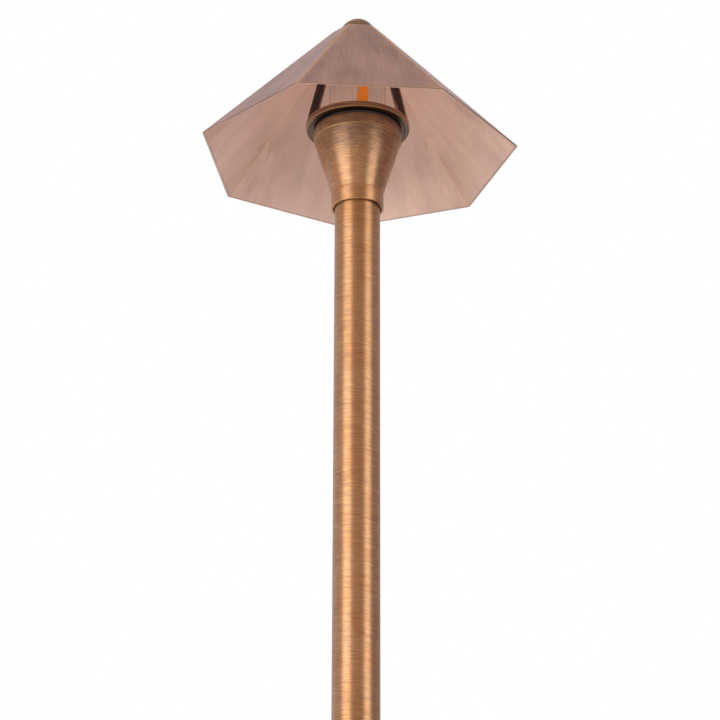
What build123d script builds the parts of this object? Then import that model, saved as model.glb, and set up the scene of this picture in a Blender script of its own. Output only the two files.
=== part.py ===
from build123d import *

import os
from math import cos, pi, radians, sin, sqrt, tan

# A low-voltage path light in brushed bronze, in millimetres.
# +Z is up, and the origin is on the stem's axis at ground level.
# The front, from which the lamp is seen between the cage's two arms, is -Y.

os.makedirs("parts", exist_ok=True)

# Clearances
THREAD_GAP = 0.05  # radial, every threaded fit, whose thread is drawn as a plain cylinder
PRESS_GAP = 0.05  # radial, plugs in tubes and soft pieces in holes
PIN_GAP = 0.08  # radial, lamp pins in their contacts
HOLE_GAP = 0.3  # radial, loose holes round a stud, a screw or a thread

# Ground stake
FLANGE_R = 32.0
FLANGE_THICK = 6.0
FLANGE_ROUND = 2.0
STAKE_HUB_R = 15.0
STAKE_HUB_DEPTH = 34.0
STAKE_HUB_EDGE = 1.5
STAKE_SOCKET_DEPTH = 15.0
CHAMBER_R = 8.0
CHAMBER_DEPTH = 15.0
BLADE_THICK = 3.5
BLADE_BEVEL = 30.0  # degrees, by which each blade's rim leans in from its middle to both faces
BLADE_START_DEPTH = 22.0
BLADE_REACH = 21.0
BLADE_TIP_REACH = 3.5
BLADE_TIP_LENGTH = 10.0
STAKE_DEPTH = 210.0

# Cable outlet in the stake's hub, and its grommet
OUTLET_R = 5.0
OUTLET_DEPTH = 15.5
OUTLET_BOSS_R = 7.5
OUTLET_REACH = 17.0
GROMMET_BORE_R = 3.4
GROMMET_FLANGE_R = 6.6
GROMMET_FLANGE_THICK = 1.4
GROMMET_SETBACK = 0.5

# Stem, its two plugs and the pipe thread that all its joints share
STEM_OD = 25.4
STEM_WALL = 1.6
STEM_LENGTH = 457.2
PIPE_THREAD_R = 10.45
WIRE_BORE_R = 5.6
STAKE_WASHER_THICK = 1.6
STAKE_WASHER_REACH = 1.8
FOOT_SHOULDER = 3.0
FOOT_THREAD_LENGTH = 14.0
PLUG_DEPTH = 18.0
NIPPLE_LENGTH = 9.0
STEM_SEAL_THICK = 1.2
EDGE_BREAK = 0.4
BUSHING_BORE_R = 4.4
BUSHING_FLANGE_R = 7.2
BUSHING_FLANGE_THICK = 1.2

# Lamp housing: collar, cone and band
COLLAR_GAP = 0.2
COLLAR_WALL = 1.82
COLLAR_DEPTH = 9.6
COLLAR_HEIGHT = 10.1
COLLAR_LIP_BREAK = 0.8
COLLAR_MOUTH_STEP = 0.65  # by which the mouth is wider than the collar's bore, on each side
COLLAR_MOUTH_DEPTH = 3.0
COLLAR_LINE_DROP = 1.2
COLLAR_LINE_WIDTH = 0.6
COLLAR_LINE_DEPTH = 0.2
CONE_HEIGHT = 31.8
BAND_STEP = 0.5
BAND_HEIGHT = 6.7
BAND_WALL = 3.8
HOUSING_WALL = 3.0
WEB_THICK = 8.0
LEDGE_DEPTH = 6.0

# Lens of clear glass: a tube with a dome and a foot flange
LENS_OD = 32.0
LENS_WALL = 1.8
LENS_STANDS = 46.2
LENS_FLANGE = 2.8
LENS_FLANGE_THICK = 3.0
LENS_SEAL_THICK = 1.2
LENS_GAP = 0.8

# Lens cage: ring with a threaded skirt, two arms and a hub
SKIRT_GAP = 0.3
SKIRT_WALL = 1.85
SKIRT_RAISE = 0.4
GASKET_THICK = 1.5
GASKET_INSET = 0.6
RING_OVERHANG = 4.6
RING_THICK = 3.3
RING_EDGE = 0.6
CAGE_HEIGHT = 56.3
HUB_THICK = 4.0
ARM_THICK = 4.7
ARM_WIDTH = 6.0
ARM_LEAN = 13.0
ARM_INSET = 0.25
ARM_ROUND = 1.0
CAGE_TO_SHADE = 1.9

# Shade: a pyramid of sheet, cut off by a small flat top
SHADE_SIDES = 7
SHADE_CORNER_R = 91.0
SHADE_TOP_CORNER_R = 15.0
SHADE_APEX_HEIGHT = 93.8
SHADE_TURN = 4.9
SHEET = 1.2
SHADE_PAD_THICK = 1.0
SHADE_PAD_R = 7.5

# Finial, a part of a ball, and its stud
STUD_R = 2.5
STUD_PAST_HUB = 1.0
FINIAL_BALL_R = 10.6
FINIAL_HEIGHT = 9.0
FINIAL_WASHER_THICK = 1.0
FINIAL_WASHER_R = 9.2

# Socket bracket, on two bosses in the housing
BRACKET_DEPTH = 14.2
BRACKET_THICK = 1.2
BRACKET_WIDTH = 8.0
BRACKET_END = 15.6
BRACKET_CORNER = 2.0
BOSS_X = 13.0
BOSS_R = 3.2
BOSS_SCREW_R = 1.5
BOSS_SCREW_LENGTH = 8.0
BOSS_HEAD_R = 2.5
BOSS_HEAD_THICK = 1.8

# Bi-pin lamp socket, off the stem's axis
LAMP_X = 2.8
SOCKET_LENGTH = 15.0
SOCKET_WIDTH = 9.0
SOCKET_HEIGHT = 11.0
SOCKET_ROUND = 1.5
SOCKET_SCREW_SPACING = 10.8
SOCKET_SCREW_R = 1.0
SOCKET_HEAD_R = 1.7
SOCKET_HEAD_THICK = 1.2
PIN_SPACING = 4.0
PIN_R = 0.35
PIN_LENGTH = 7.0
PIN_HOLE_R = 0.6
CONTACT_SIZE = 2.2
CONTACT_HEIGHT = 7.6
CONTACT_GAP = 0.1
CONTACT_COVER = 0.8

# Lamp: foot, capsule and a strip of light-emitting coating on a board
LAMP_SEAT_GAP = 0.1
LAMP_BASE_R = 5.2
LAMP_BASE_HEIGHT = 7.0
PIN_IN_BASE = 2.0
CAPSULE_R = 6.0
CAPSULE_WALL = 0.7
CAPSULE_HEIGHT = 33.0
CAPSULE_OVERLAP = 2.0
BOARD_WIDTH = 6.6
BOARD_THICK = 1.0
BOARD_HEIGHT = 27.0
COATING_WIDTH = 6.2
COATING_THICK = 0.8
COATING_START = 2.0
COATING_HEIGHT = 24.0
COATING_CORNER = (2.2, 11.0)

# Leads from the socket, and their crimp caps inside the stem
LEAD_R = 1.2
LEAD_BEND = 0.45  # each bend's tangent length, as a share of the shorter run beside it
LEAD_ENTRY = 1.5  # straight way below the socket, and above the bushing
LEAD_WAIST = (2.0, 0.2)
LEAD_KNEE = (2.5, -0.5)
LEAD_KNEE_DROP = 24.0
LEAD_SPREAD = 4.2
LEAD_SPREAD_DROP = 52.0
LEAD_END_DROP = 75.0
CAP_R = 3.1
CAP_LENGTH = 20.0
CAP_GRIP = 5.0

STAND = (Align.CENTER, Align.CENTER, Align.MIN)

# Radii that follow from the sizes above
stem_r = STEM_OD / 2
stem_bore_r = stem_r - STEM_WALL
pipe_hole_r = PIPE_THREAD_R + THREAD_GAP
collar_r = stem_r + COLLAR_GAP + COLLAR_WALL
lens_r = LENS_OD / 2
lens_flange_r = lens_r + LENS_FLANGE
lens_hole_r = lens_r + LENS_GAP
skirt_inner_r = lens_flange_r + SKIRT_GAP
cage_thread_r = skirt_inner_r + SKIRT_WALL
cage_bore_r = cage_thread_r + THREAD_GAP
band_r = cage_bore_r + BAND_WALL
cone_top_r = band_r - BAND_STEP
ring_r = band_r + RING_OVERHANG

# Heights, from the ground up
stake_top = FLANGE_THICK
foot_bottom = stake_top + STAKE_WASHER_THICK
stem_bottom = foot_bottom + FOOT_SHOULDER
stem_top = stem_bottom + STEM_LENGTH
web_bottom = stem_top + STEM_SEAL_THICK
web_top = web_bottom + WEB_THICK
collar_lip = web_bottom - COLLAR_DEPTH
cone_bottom = collar_lip + COLLAR_HEIGHT
cone_top = cone_bottom + CONE_HEIGHT
band_top = cone_top + BAND_HEIGHT
ledge = band_top - LEDGE_DEPTH
ring_bottom = band_top + GASKET_THICK
ring_top = ring_bottom + RING_THICK
hub_top = ring_top + CAGE_HEIGHT
hub_bottom = hub_top - HUB_THICK
shade_under = hub_top + SHADE_PAD_THICK
shade_top = shade_under + SHEET
finial_bottom = shade_top + FINIAL_WASHER_THICK
lens_bottom = ledge + LENS_SEAL_THICK
lens_flange_top = lens_bottom + LENS_FLANGE_THICK
cage_lip_bottom = lens_flange_top + LENS_SEAL_THICK
boss_top = band_top - BRACKET_DEPTH
socket_bottom = boss_top + BRACKET_THICK
socket_top = socket_bottom + SOCKET_HEIGHT
lamp_bottom = socket_top + LAMP_SEAT_GAP
lamp_base_top = lamp_bottom + LAMP_BASE_HEIGHT

# The pyramid's facets: distance of their outer and inner face from the axis at any height
facet_angle = pi / SHADE_SIDES
shade_apothem = SHADE_CORNER_R * cos(facet_angle)
shade_height = SHADE_APEX_HEIGHT * (1 - SHADE_TOP_CORNER_R / SHADE_CORNER_R)
rim = shade_top - shade_height
facet_rise = SHADE_APEX_HEIGHT / shade_apothem
sheet_across = SHEET * sqrt(1 + facet_rise**2) / facet_rise


def facet_outside(height):
    return shade_apothem - (height - rim) / facet_rise


def facet_inside(height):
    return facet_outside(height) - sheet_across


def heptagon(apothem):
    """The shade's plan at one height, turned so that one facet faces the front."""
    corner_r = apothem / cos(facet_angle)
    turns = [radians(SHADE_TURN - 90) + (2 * i + 1) * facet_angle for i in range(SHADE_SIDES)]
    Polygon(*[(corner_r * cos(a), corner_r * sin(a)) for a in turns])


def rod(radius, bottom, top, mode=Mode.ADD):
    """An upright cylinder, from one height to another, where the current locations are."""
    with Locations((0, 0, bottom)):
        Cylinder(radius, top - bottom, align=STAND, mode=mode)


def bore(radius, bottom, top):
    rod(radius, bottom, top, mode=Mode.SUBTRACT)


# Ground stake: flange, hub with a threaded socket and a cable chamber, and four blades
with BuildPart() as ground_stake:
    rod(FLANGE_R, 0, FLANGE_THICK)
    fillet(ground_stake.edges().group_by(Axis.Z)[-1], FLANGE_ROUND)
    rod(STAKE_HUB_R, -STAKE_HUB_DEPTH, 0)
    chamfer(ground_stake.edges().group_by(Axis.Z)[0], STAKE_HUB_EDGE)
    blade_outline = [
        (0, -BLADE_START_DEPTH),
        (STAKE_HUB_R, -BLADE_START_DEPTH),
        (BLADE_REACH, -BLADE_START_DEPTH - (BLADE_REACH - STAKE_HUB_R)),
        (BLADE_TIP_REACH, -STAKE_DEPTH + BLADE_TIP_LENGTH),
        (0, -STAKE_DEPTH),
    ]
    for plane in (Plane.XZ, Plane.YZ):
        with BuildSketch(plane):
            with BuildLine():
                Polyline(*blade_outline, close=True)
            make_face()
            mirror(about=Plane.YZ)
        extrude(amount=BLADE_THICK / 2, both=True, taper=BLADE_BEVEL)
    with BuildSketch(Plane.YZ.offset(OUTLET_REACH)):
        with Locations((0, -OUTLET_DEPTH)):
            Circle(OUTLET_BOSS_R)
    extrude(amount=CHAMBER_R - OUTLET_REACH)
    bore(pipe_hole_r, stake_top - STAKE_SOCKET_DEPTH, stake_top)
    bore(CHAMBER_R, stake_top - STAKE_SOCKET_DEPTH - CHAMBER_DEPTH, stake_top - STAKE_SOCKET_DEPTH)
    with BuildSketch(Plane.YZ.offset(OUTLET_REACH)):
        with Locations((0, -OUTLET_DEPTH)):
            Circle(OUTLET_R)
    extrude(amount=-OUTLET_REACH, mode=Mode.SUBTRACT)
ground_stake.part.label = "ground_stake"
export_step(ground_stake.part, "parts/ground_stake.step")

# Grommet in the cable outlet
with BuildPart() as cable_grommet:
    with BuildSketch(Plane.YZ.offset(CHAMBER_R + GROMMET_SETBACK)):
        with Locations((0, -OUTLET_DEPTH)):
            Circle(OUTLET_R - PRESS_GAP)
    extrude(amount=OUTLET_REACH - CHAMBER_R - GROMMET_SETBACK)
    with BuildSketch(Plane.YZ.offset(OUTLET_REACH)):
        with Locations((0, -OUTLET_DEPTH)):
            Circle(GROMMET_FLANGE_R)
    extrude(amount=GROMMET_FLANGE_THICK)
    fillet(cable_grommet.edges().group_by(Axis.X)[-1], EDGE_BREAK)
    with BuildSketch(Plane.YZ.offset(OUTLET_REACH + GROMMET_FLANGE_THICK)):
        with Locations((0, -OUTLET_DEPTH)):
            Circle(GROMMET_BORE_R)
    extrude(amount=-OUTLET_REACH, mode=Mode.SUBTRACT)
cable_grommet.part.label = "cable_grommet"
export_step(cable_grommet.part, "parts/cable_grommet.step")

# Washer between the stake and the stem's foot
with BuildPart() as stake_washer:
    rod(stem_r + STAKE_WASHER_REACH, stake_top, foot_bottom)
    bore(PIPE_THREAD_R + HOLE_GAP, stake_top, foot_bottom)
stake_washer.part.label = "stake_washer"
export_step(stake_washer.part, "parts/stake_washer.step")

# Foot: a plug in the stem's lower end, with a shoulder and the thread that goes into the stake
with BuildPart() as stem_foot:
    rod(stem_r, foot_bottom, stem_bottom)
    chamfer(stem_foot.edges().group_by(Axis.Z)[0], EDGE_BREAK)
    rod(stem_bore_r - PRESS_GAP, stem_bottom, stem_bottom + PLUG_DEPTH)
    rod(PIPE_THREAD_R, foot_bottom - FOOT_THREAD_LENGTH, foot_bottom)
    bore(WIRE_BORE_R, foot_bottom - FOOT_THREAD_LENGTH, stem_bottom + PLUG_DEPTH)
stem_foot.part.label = "stem_foot"
export_step(stem_foot.part, "parts/stem_foot.step")

# Stem
with BuildPart() as stem:
    rod(stem_r, stem_bottom, stem_top)
    bore(stem_bore_r, stem_bottom, stem_top)
stem.part.label = "stem"
export_step(stem.part, "parts/stem.step")

# Plug in the stem's upper end, with the nipple that screws into the housing
with BuildPart() as stem_plug:
    rod(stem_bore_r - PRESS_GAP, stem_top - PLUG_DEPTH, stem_top)
    rod(PIPE_THREAD_R, stem_top, stem_top + NIPPLE_LENGTH)
    bore(WIRE_BORE_R, stem_top - PLUG_DEPTH, stem_top + NIPPLE_LENGTH)
stem_plug.part.label = "stem_plug"
export_step(stem_plug.part, "parts/stem_plug.step")

# Bushing that keeps the leads off the nipple's edge
nipple_top = stem_top + NIPPLE_LENGTH
with BuildPart() as wire_bushing:
    rod(WIRE_BORE_R - PRESS_GAP, stem_top, nipple_top)
    rod(BUSHING_FLANGE_R, nipple_top, nipple_top + BUSHING_FLANGE_THICK)
    bore(BUSHING_BORE_R, stem_top, nipple_top + BUSHING_FLANGE_THICK)
wire_bushing.part.label = "wire_bushing"
export_step(wire_bushing.part, "parts/wire_bushing.step")

# Seal between the stem's end and the housing's web
with BuildPart() as stem_seal:
    rod(stem_r, stem_top, web_bottom)
    bore(PIPE_THREAD_R + HOLE_GAP, stem_top, web_bottom)
stem_seal.part.label = "stem_seal"
export_step(stem_seal.part, "parts/stem_seal.step")

# Lamp housing: collar with a wider mouth and a fine turned line, cone and band. The web in it is threaded for the stem's
# plug, and the bore above the ledge for the cage.
cone_spread = (cone_top_r - collar_r) / CONE_HEIGHT
collar_line = cone_bottom - COLLAR_LINE_DROP
collar_bore_r = stem_r + COLLAR_GAP
collar_mouth_r = collar_bore_r + COLLAR_MOUTH_STEP
cavity_bottom_r = collar_r + (web_top - cone_bottom) * cone_spread - HOUSING_WALL
cavity_straight = cone_bottom + (lens_hole_r + HOUSING_WALL - collar_r) / cone_spread
with BuildPart() as lamp_housing:
    with BuildSketch(Plane.XZ):
        with BuildLine():
            Polyline(
                (collar_bore_r, collar_lip + COLLAR_MOUTH_DEPTH),
                (collar_mouth_r, collar_lip + COLLAR_MOUTH_DEPTH),
                (collar_mouth_r, collar_lip),
                (collar_r - COLLAR_LIP_BREAK, collar_lip),
                (collar_r, collar_lip + COLLAR_LIP_BREAK),
                (collar_r, collar_line - COLLAR_LINE_WIDTH / 2),
                (collar_r - COLLAR_LINE_DEPTH, collar_line),
                (collar_r, collar_line + COLLAR_LINE_WIDTH / 2),
                (collar_r, cone_bottom),
                (cone_top_r, cone_top),
                (band_r, cone_top + BAND_STEP),
                (band_r, band_top - EDGE_BREAK),
                (band_r - EDGE_BREAK, band_top),
                (cage_bore_r, band_top),
                (cage_bore_r, ledge),
                (lens_hole_r, ledge),
                (lens_hole_r, cavity_straight),
                (cavity_bottom_r, web_top),
                (pipe_hole_r, web_top),
                (pipe_hole_r, web_bottom),
                (collar_bore_r, web_bottom),
                close=True,
            )
        make_face()
    revolve(axis=Axis.Z)
    with Locations((-BOSS_X, 0), (BOSS_X, 0)):
        rod(BOSS_R, web_top, boss_top)
        bore(BOSS_SCREW_R + THREAD_GAP, boss_top - BOSS_SCREW_LENGTH, boss_top)
lamp_housing.part.label = "lamp_housing"
export_step(lamp_housing.part, "parts/lamp_housing.step")

# Bracket across the two bosses
socket_screws_at = [(LAMP_X + side * SOCKET_SCREW_SPACING / 2, 0) for side in (-1, 1)]
pins_at = [(LAMP_X + side * PIN_SPACING / 2, 0) for side in (-1, 1)]
lead_slot_r = PIN_SPACING / 2 + LEAD_R + HOLE_GAP
with BuildPart() as socket_bracket:
    with Locations((0, 0, boss_top)):
        Box(2 * BRACKET_END, BRACKET_WIDTH, BRACKET_THICK, align=STAND)
    fillet(socket_bracket.edges().filter_by(Axis.Z), BRACKET_CORNER)
    with Locations((-BOSS_X, 0), (BOSS_X, 0)):
        bore(BOSS_SCREW_R + PRESS_GAP, boss_top, socket_bottom)
    with Locations(*socket_screws_at):
        bore(SOCKET_SCREW_R + THREAD_GAP, boss_top, socket_bottom)
    with Locations((LAMP_X, 0)):
        bore(lead_slot_r, boss_top, socket_bottom)
socket_bracket.part.label = "socket_bracket"
export_step(socket_bracket.part, "parts/socket_bracket.step")

# Two pan-head screws, bracket to bosses
with BuildPart() as bracket_screws:
    with Locations((-BOSS_X, 0), (BOSS_X, 0)):
        rod(BOSS_SCREW_R, socket_bottom - BOSS_SCREW_LENGTH, socket_bottom)
        rod(BOSS_HEAD_R, socket_bottom, socket_bottom + BOSS_HEAD_THICK)
    fillet(bracket_screws.edges().group_by(Axis.Z)[-1], EDGE_BREAK)
bracket_screws.part.label = "bracket_screws"
export_step(bracket_screws.part, "parts/bracket_screws.step")

# Ceramic socket with a pocket for each contact
contact_top = socket_top - CONTACT_COVER
contact_bottom = contact_top - CONTACT_HEIGHT
with BuildPart() as lamp_socket:
    with Locations((LAMP_X, 0, socket_bottom)):
        Box(SOCKET_LENGTH, SOCKET_WIDTH, SOCKET_HEIGHT, align=STAND)
    fillet(lamp_socket.edges().filter_by(Axis.Z), SOCKET_ROUND)
    with Locations(*socket_screws_at):
        bore(SOCKET_SCREW_R + PRESS_GAP, socket_bottom, socket_top)
        bore(SOCKET_HEAD_R + PRESS_GAP, socket_top - SOCKET_HEAD_THICK, socket_top)
    with Locations(*pins_at):
        bore(PIN_HOLE_R, contact_top, socket_top)
        bore(LEAD_R + PRESS_GAP, socket_bottom, contact_bottom)
    pocket = CONTACT_SIZE + 2 * CONTACT_GAP
    with Locations(*[(x, y, contact_bottom) for x, y in pins_at]):
        Box(pocket, pocket, CONTACT_HEIGHT, align=STAND, mode=Mode.SUBTRACT)
lamp_socket.part.label = "lamp_socket"
export_step(lamp_socket.part, "parts/lamp_socket.step")

# Two spring contacts, each a sleeve round its pin
pin_bottom = lamp_bottom - PIN_LENGTH
with BuildPart() as socket_contacts:
    with Locations(*[(x, y, contact_bottom) for x, y in pins_at]):
        Box(CONTACT_SIZE, CONTACT_SIZE, CONTACT_HEIGHT, align=STAND)
    with Locations(*pins_at):
        bore(PIN_R + PIN_GAP, pin_bottom - CONTACT_GAP, contact_top)
socket_contacts.part.label = "socket_contacts"
export_step(socket_contacts.part, "parts/socket_contacts.step")

# Two countersunk screws, socket to bracket
with BuildPart() as socket_screws:
    with Locations(*socket_screws_at):
        rod(SOCKET_SCREW_R, boss_top, socket_top - SOCKET_HEAD_THICK)
        rod(SOCKET_HEAD_R, socket_top - SOCKET_HEAD_THICK, socket_top)
socket_screws.part.label = "socket_screws"
export_step(socket_screws.part, "parts/socket_screws.step")

# Lamp foot, with the two pins in it
with BuildPart() as lamp_base:
    with Locations((LAMP_X, 0)):
        rod(LAMP_BASE_R, lamp_bottom, lamp_base_top)
    with Locations(*pins_at):
        bore(PIN_R, lamp_bottom, lamp_bottom + PIN_IN_BASE)
lamp_base.part.label = "lamp_base"
export_step(lamp_base.part, "parts/lamp_base.step")

with BuildPart() as lamp_pins:
    with Locations(*pins_at):
        rod(PIN_R, pin_bottom, lamp_bottom + PIN_IN_BASE)
lamp_pins.part.label = "lamp_pins"
export_step(lamp_pins.part, "parts/lamp_pins.step")

# Lamp capsule: a thin clear tube with a round end, over the foot
capsule_bottom = lamp_base_top - CAPSULE_OVERLAP
capsule_turn = capsule_bottom + CAPSULE_HEIGHT - CAPSULE_R
with BuildPart() as lamp_capsule:
    with Locations((LAMP_X, 0)):
        rod(CAPSULE_R, capsule_bottom, capsule_turn)
        with Locations((0, 0, capsule_turn)):
            Sphere(CAPSULE_R)
        bore(CAPSULE_R - CAPSULE_WALL, capsule_bottom, capsule_turn)
        with Locations((0, 0, capsule_turn)):
            Sphere(CAPSULE_R - CAPSULE_WALL, mode=Mode.SUBTRACT)
lamp_capsule.part.label = "lamp_capsule"
export_step(lamp_capsule.part, "parts/lamp_capsule.step")

# Ceramic board on the foot, and the coating on its two faces, whose upper left corner is cut
with BuildPart() as led_board:
    with Locations((LAMP_X, 0, lamp_base_top)):
        Box(BOARD_WIDTH, BOARD_THICK, BOARD_HEIGHT, align=STAND)
led_board.part.label = "led_board"
export_step(led_board.part, "parts/led_board.step")

coating_bottom = lamp_base_top + COATING_START
coating_top = coating_bottom + COATING_HEIGHT
corner_cut, corner_drop = COATING_CORNER
with BuildPart() as led_coating:
    for side in (-1, 1):
        with BuildSketch(Plane.XZ.offset(side * BOARD_THICK / 2)):
            with Locations((LAMP_X, 0)):
                Polygon(
                    (-COATING_WIDTH / 2, coating_bottom),
                    (COATING_WIDTH / 2, coating_bottom),
                    (COATING_WIDTH / 2, coating_top),
                    (-COATING_WIDTH / 2 + corner_cut, coating_top),
                    (-COATING_WIDTH / 2, coating_top - corner_drop),
                )
        extrude(amount=side * COATING_THICK)
led_coating.part.label = "led_coating"
export_step(led_coating.part, "parts/led_coating.step")


def lead_route(side):
    """A lead's points, from its contact through the bushing to its crimp cap in the stem."""
    waist_x, waist_y = LEAD_WAIST
    knee_x, knee_y = LEAD_KNEE
    return [
        (LAMP_X + side * PIN_SPACING / 2, 0, contact_bottom),
        (LAMP_X + side * PIN_SPACING / 2, 0, boss_top - LEAD_ENTRY),
        (side * waist_x, side * waist_y, nipple_top + LEAD_ENTRY),
        (side * knee_x, side * knee_y, nipple_top - LEAD_KNEE_DROP),
        (side * LEAD_SPREAD, 0, nipple_top - LEAD_SPREAD_DROP),
        (side * LEAD_SPREAD, 0, nipple_top - LEAD_END_DROP),
    ]


def bend_radii(points):
    """For each inner point, LEAD_BEND of its shorter run over the tangent of half its turn."""
    runs = [Vector(*b) - Vector(*a) for a, b in zip(points, points[1:])]
    radii = []
    for before, after in zip(runs, runs[1:]):
        half_turn = radians(before.get_angle(after)) / 2
        radii.append(LEAD_BEND * min(before.length, after.length) / tan(half_turn))
    return radii


# Two leads, and the crimp caps at their ends
with BuildPart() as socket_leads:
    for side in (-1, 1):
        route = lead_route(side)
        radii = bend_radii(route)
        print("lead bends", [round(r, 1) for r in radii])
        with BuildLine() as lead_path:
            FilletPolyline(*route, radius=radii)
        lead_line = lead_path.wires()[0]
        with BuildSketch(Plane(origin=lead_line @ 0, z_dir=lead_line % 0)):
            Circle(LEAD_R)
        sweep(path=lead_line)
        print("lead length", round(lead_line.length, 2), "volume", round(pi * LEAD_R**2 * lead_line.length, 2))
socket_leads.part.label = "socket_leads"
export_step(socket_leads.part, "parts/socket_leads.step")

with BuildPart() as splice_caps:
    for side in (-1, 1):
        end_x, end_y, end_z = lead_route(side)[-1]
        with Locations((end_x, end_y)):
            rod(CAP_R, end_z + CAP_GRIP - CAP_LENGTH, end_z + CAP_GRIP)
            bore(LEAD_R + HOLE_GAP, end_z, end_z + CAP_GRIP)
            bore(LEAD_R + HOLE_GAP, end_z + CAP_GRIP - CAP_LENGTH, end_z + 2 * CAP_GRIP - CAP_LENGTH)
    fillet(splice_caps.edges().group_by(Axis.Z)[0], EDGE_BREAK)
splice_caps.part.label = "splice_caps"
export_step(splice_caps.part, "parts/splice_caps.step")

# Lens: flange, tube and dome in one glass
dome_centre = ring_top + LENS_STANDS - lens_r
with BuildPart() as lens_glass:
    rod(lens_flange_r, lens_bottom, lens_flange_top)
    fillet(lens_glass.edges(), EDGE_BREAK)
    rod(lens_r, lens_bottom, dome_centre)
    with Locations((0, 0, dome_centre)):
        Sphere(lens_r)
    bore(lens_r - LENS_WALL, lens_bottom, dome_centre)
    with Locations((0, 0, dome_centre)):
        Sphere(lens_r - LENS_WALL, mode=Mode.SUBTRACT)
lens_glass.part.label = "lens_glass"
export_step(lens_glass.part, "parts/lens_glass.step")

# Silicone rings under and over the lens flange
with BuildPart() as lens_seal_bottom:
    rod(lens_flange_r - HOLE_GAP, ledge, lens_bottom)
    bore(lens_hole_r, ledge, lens_bottom)
lens_seal_bottom.part.label = "lens_seal_bottom"
export_step(lens_seal_bottom.part, "parts/lens_seal_bottom.step")

with BuildPart() as lens_seal_top:
    rod(lens_flange_r - HOLE_GAP, lens_flange_top, cage_lip_bottom)
    bore(lens_hole_r, lens_flange_top, cage_lip_bottom)
lens_seal_top.part.label = "lens_seal_top"
export_step(lens_seal_top.part, "parts/lens_seal_top.step")

# Gasket on the skirt, between the ring and the band
with BuildPart() as cage_gasket:
    rod(band_r - GASKET_INSET, band_top, ring_bottom)
    bore(cage_bore_r, band_top, ring_bottom)
cage_gasket.part.label = "cage_gasket"
export_step(cage_gasket.part, "parts/cage_gasket.step")

# Cage: ring, skirt, two arms that lean in and turn with the shade's slope, and hub
hub_r = facet_inside(hub_top) - CAGE_TO_SHADE
lean = tan(radians(ARM_LEAN))
arm_across = ARM_THICK / cos(radians(ARM_LEAN))
shoulder_drop = ARM_THICK * sqrt(1 + facet_rise**2)
arm_outer_r = ring_r - ARM_INSET
shoulder_top = hub_top - EDGE_BREAK


def shoulder_knee(arm_r, shoulder_z):
    """Where an arm's leaning edge meets its shoulder's edge, which slopes as the shade does."""
    height = (shoulder_z - facet_rise * (arm_r + lean * ring_top - hub_r)) / (1 - facet_rise * lean)
    return arm_r - lean * (height - ring_top), height


with BuildPart() as lens_cage:
    root = ring_bottom + RING_THICK / 2
    with BuildSketch(Plane.XZ):
        with BuildLine():
            Polyline(
                (arm_outer_r - arm_across, root),
                (arm_outer_r, root),
                (arm_outer_r, ring_top),
                shoulder_knee(arm_outer_r, shoulder_top),
                (hub_r, shoulder_top),
                (hub_r / 2, shoulder_top),
                (hub_r / 2, hub_bottom),
                (hub_r - (hub_bottom - shoulder_top + shoulder_drop) / facet_rise, hub_bottom),
                shoulder_knee(arm_outer_r - arm_across, shoulder_top - shoulder_drop),
                (arm_outer_r - arm_across, ring_top),
                close=True,
            )
        make_face()
        mirror(about=Plane.YZ)
    extrude(amount=ARM_WIDTH / 2, both=True)
    fillet(lens_cage.faces().filter_by(Axis.Y).edges(), ARM_ROUND)
    with BuildSketch(Plane.XZ):
        with BuildLine():
            Polyline(
                (lens_hole_r, cage_lip_bottom),
                (skirt_inner_r, cage_lip_bottom),
                (skirt_inner_r, ledge + SKIRT_RAISE),
                (cage_thread_r, ledge + SKIRT_RAISE),
                (cage_thread_r, ring_bottom),
                (ring_r - RING_EDGE, ring_bottom),
                (ring_r, ring_bottom + RING_EDGE),
                (ring_r, ring_top - EDGE_BREAK),
                (ring_r - EDGE_BREAK, ring_top),
                (lens_hole_r, ring_top),
                close=True,
            )
        make_face()
    revolve(axis=Axis.Z)
    rod(hub_r, hub_bottom, hub_top)
    bore(STUD_R + THREAD_GAP, hub_bottom, hub_top)
lens_cage.part.label = "lens_cage"
export_step(lens_cage.part, "parts/lens_cage.step")

# Pad between the hub and the shade
with BuildPart() as shade_pad:
    rod(SHADE_PAD_R, hub_top, shade_under)
    bore(STUD_R + HOLE_GAP, hub_top, shade_under)
shade_pad.part.label = "shade_pad"
export_step(shade_pad.part, "parts/shade_pad.step")

# Shade
with BuildPart() as shade:
    with BuildSketch(Plane.XY.offset(rim)):
        heptagon(facet_outside(rim))
    with BuildSketch(Plane.XY.offset(shade_top)):
        heptagon(facet_outside(shade_top))
    loft()
    with BuildSketch(Plane.XY.offset(rim)):
        heptagon(facet_inside(rim))
    with BuildSketch(Plane.XY.offset(shade_under)):
        heptagon(facet_inside(shade_under))
    loft(mode=Mode.SUBTRACT)
    bore(STUD_R + HOLE_GAP, shade_under, shade_top)
shade.part.label = "shade"
export_step(shade.part, "parts/shade.step")

# Washer and finial
with BuildPart() as finial_washer:
    rod(FINIAL_WASHER_R, shade_top, finial_bottom)
    bore(STUD_R + HOLE_GAP, shade_top, finial_bottom)
finial_washer.part.label = "finial_washer"
export_step(finial_washer.part, "parts/finial_washer.step")

with BuildPart() as finial:
    with Locations((0, 0, finial_bottom + FINIAL_HEIGHT - FINIAL_BALL_R)):
        Sphere(FINIAL_BALL_R)
    split(bisect_by=Plane.XY.offset(finial_bottom))
    chamfer(finial.edges().group_by(Axis.Z)[0], EDGE_BREAK)
    rod(STUD_R, hub_bottom - STUD_PAST_HUB, finial_bottom)
finial.part.label = "finial"
export_step(finial.part, "parts/finial.step")
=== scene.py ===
"""A path light in brushed antique bronze: the looks of its pieces, around the frame of its construction."""

from math import acos, atan, cos, pi, radians, sin, tan

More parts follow.
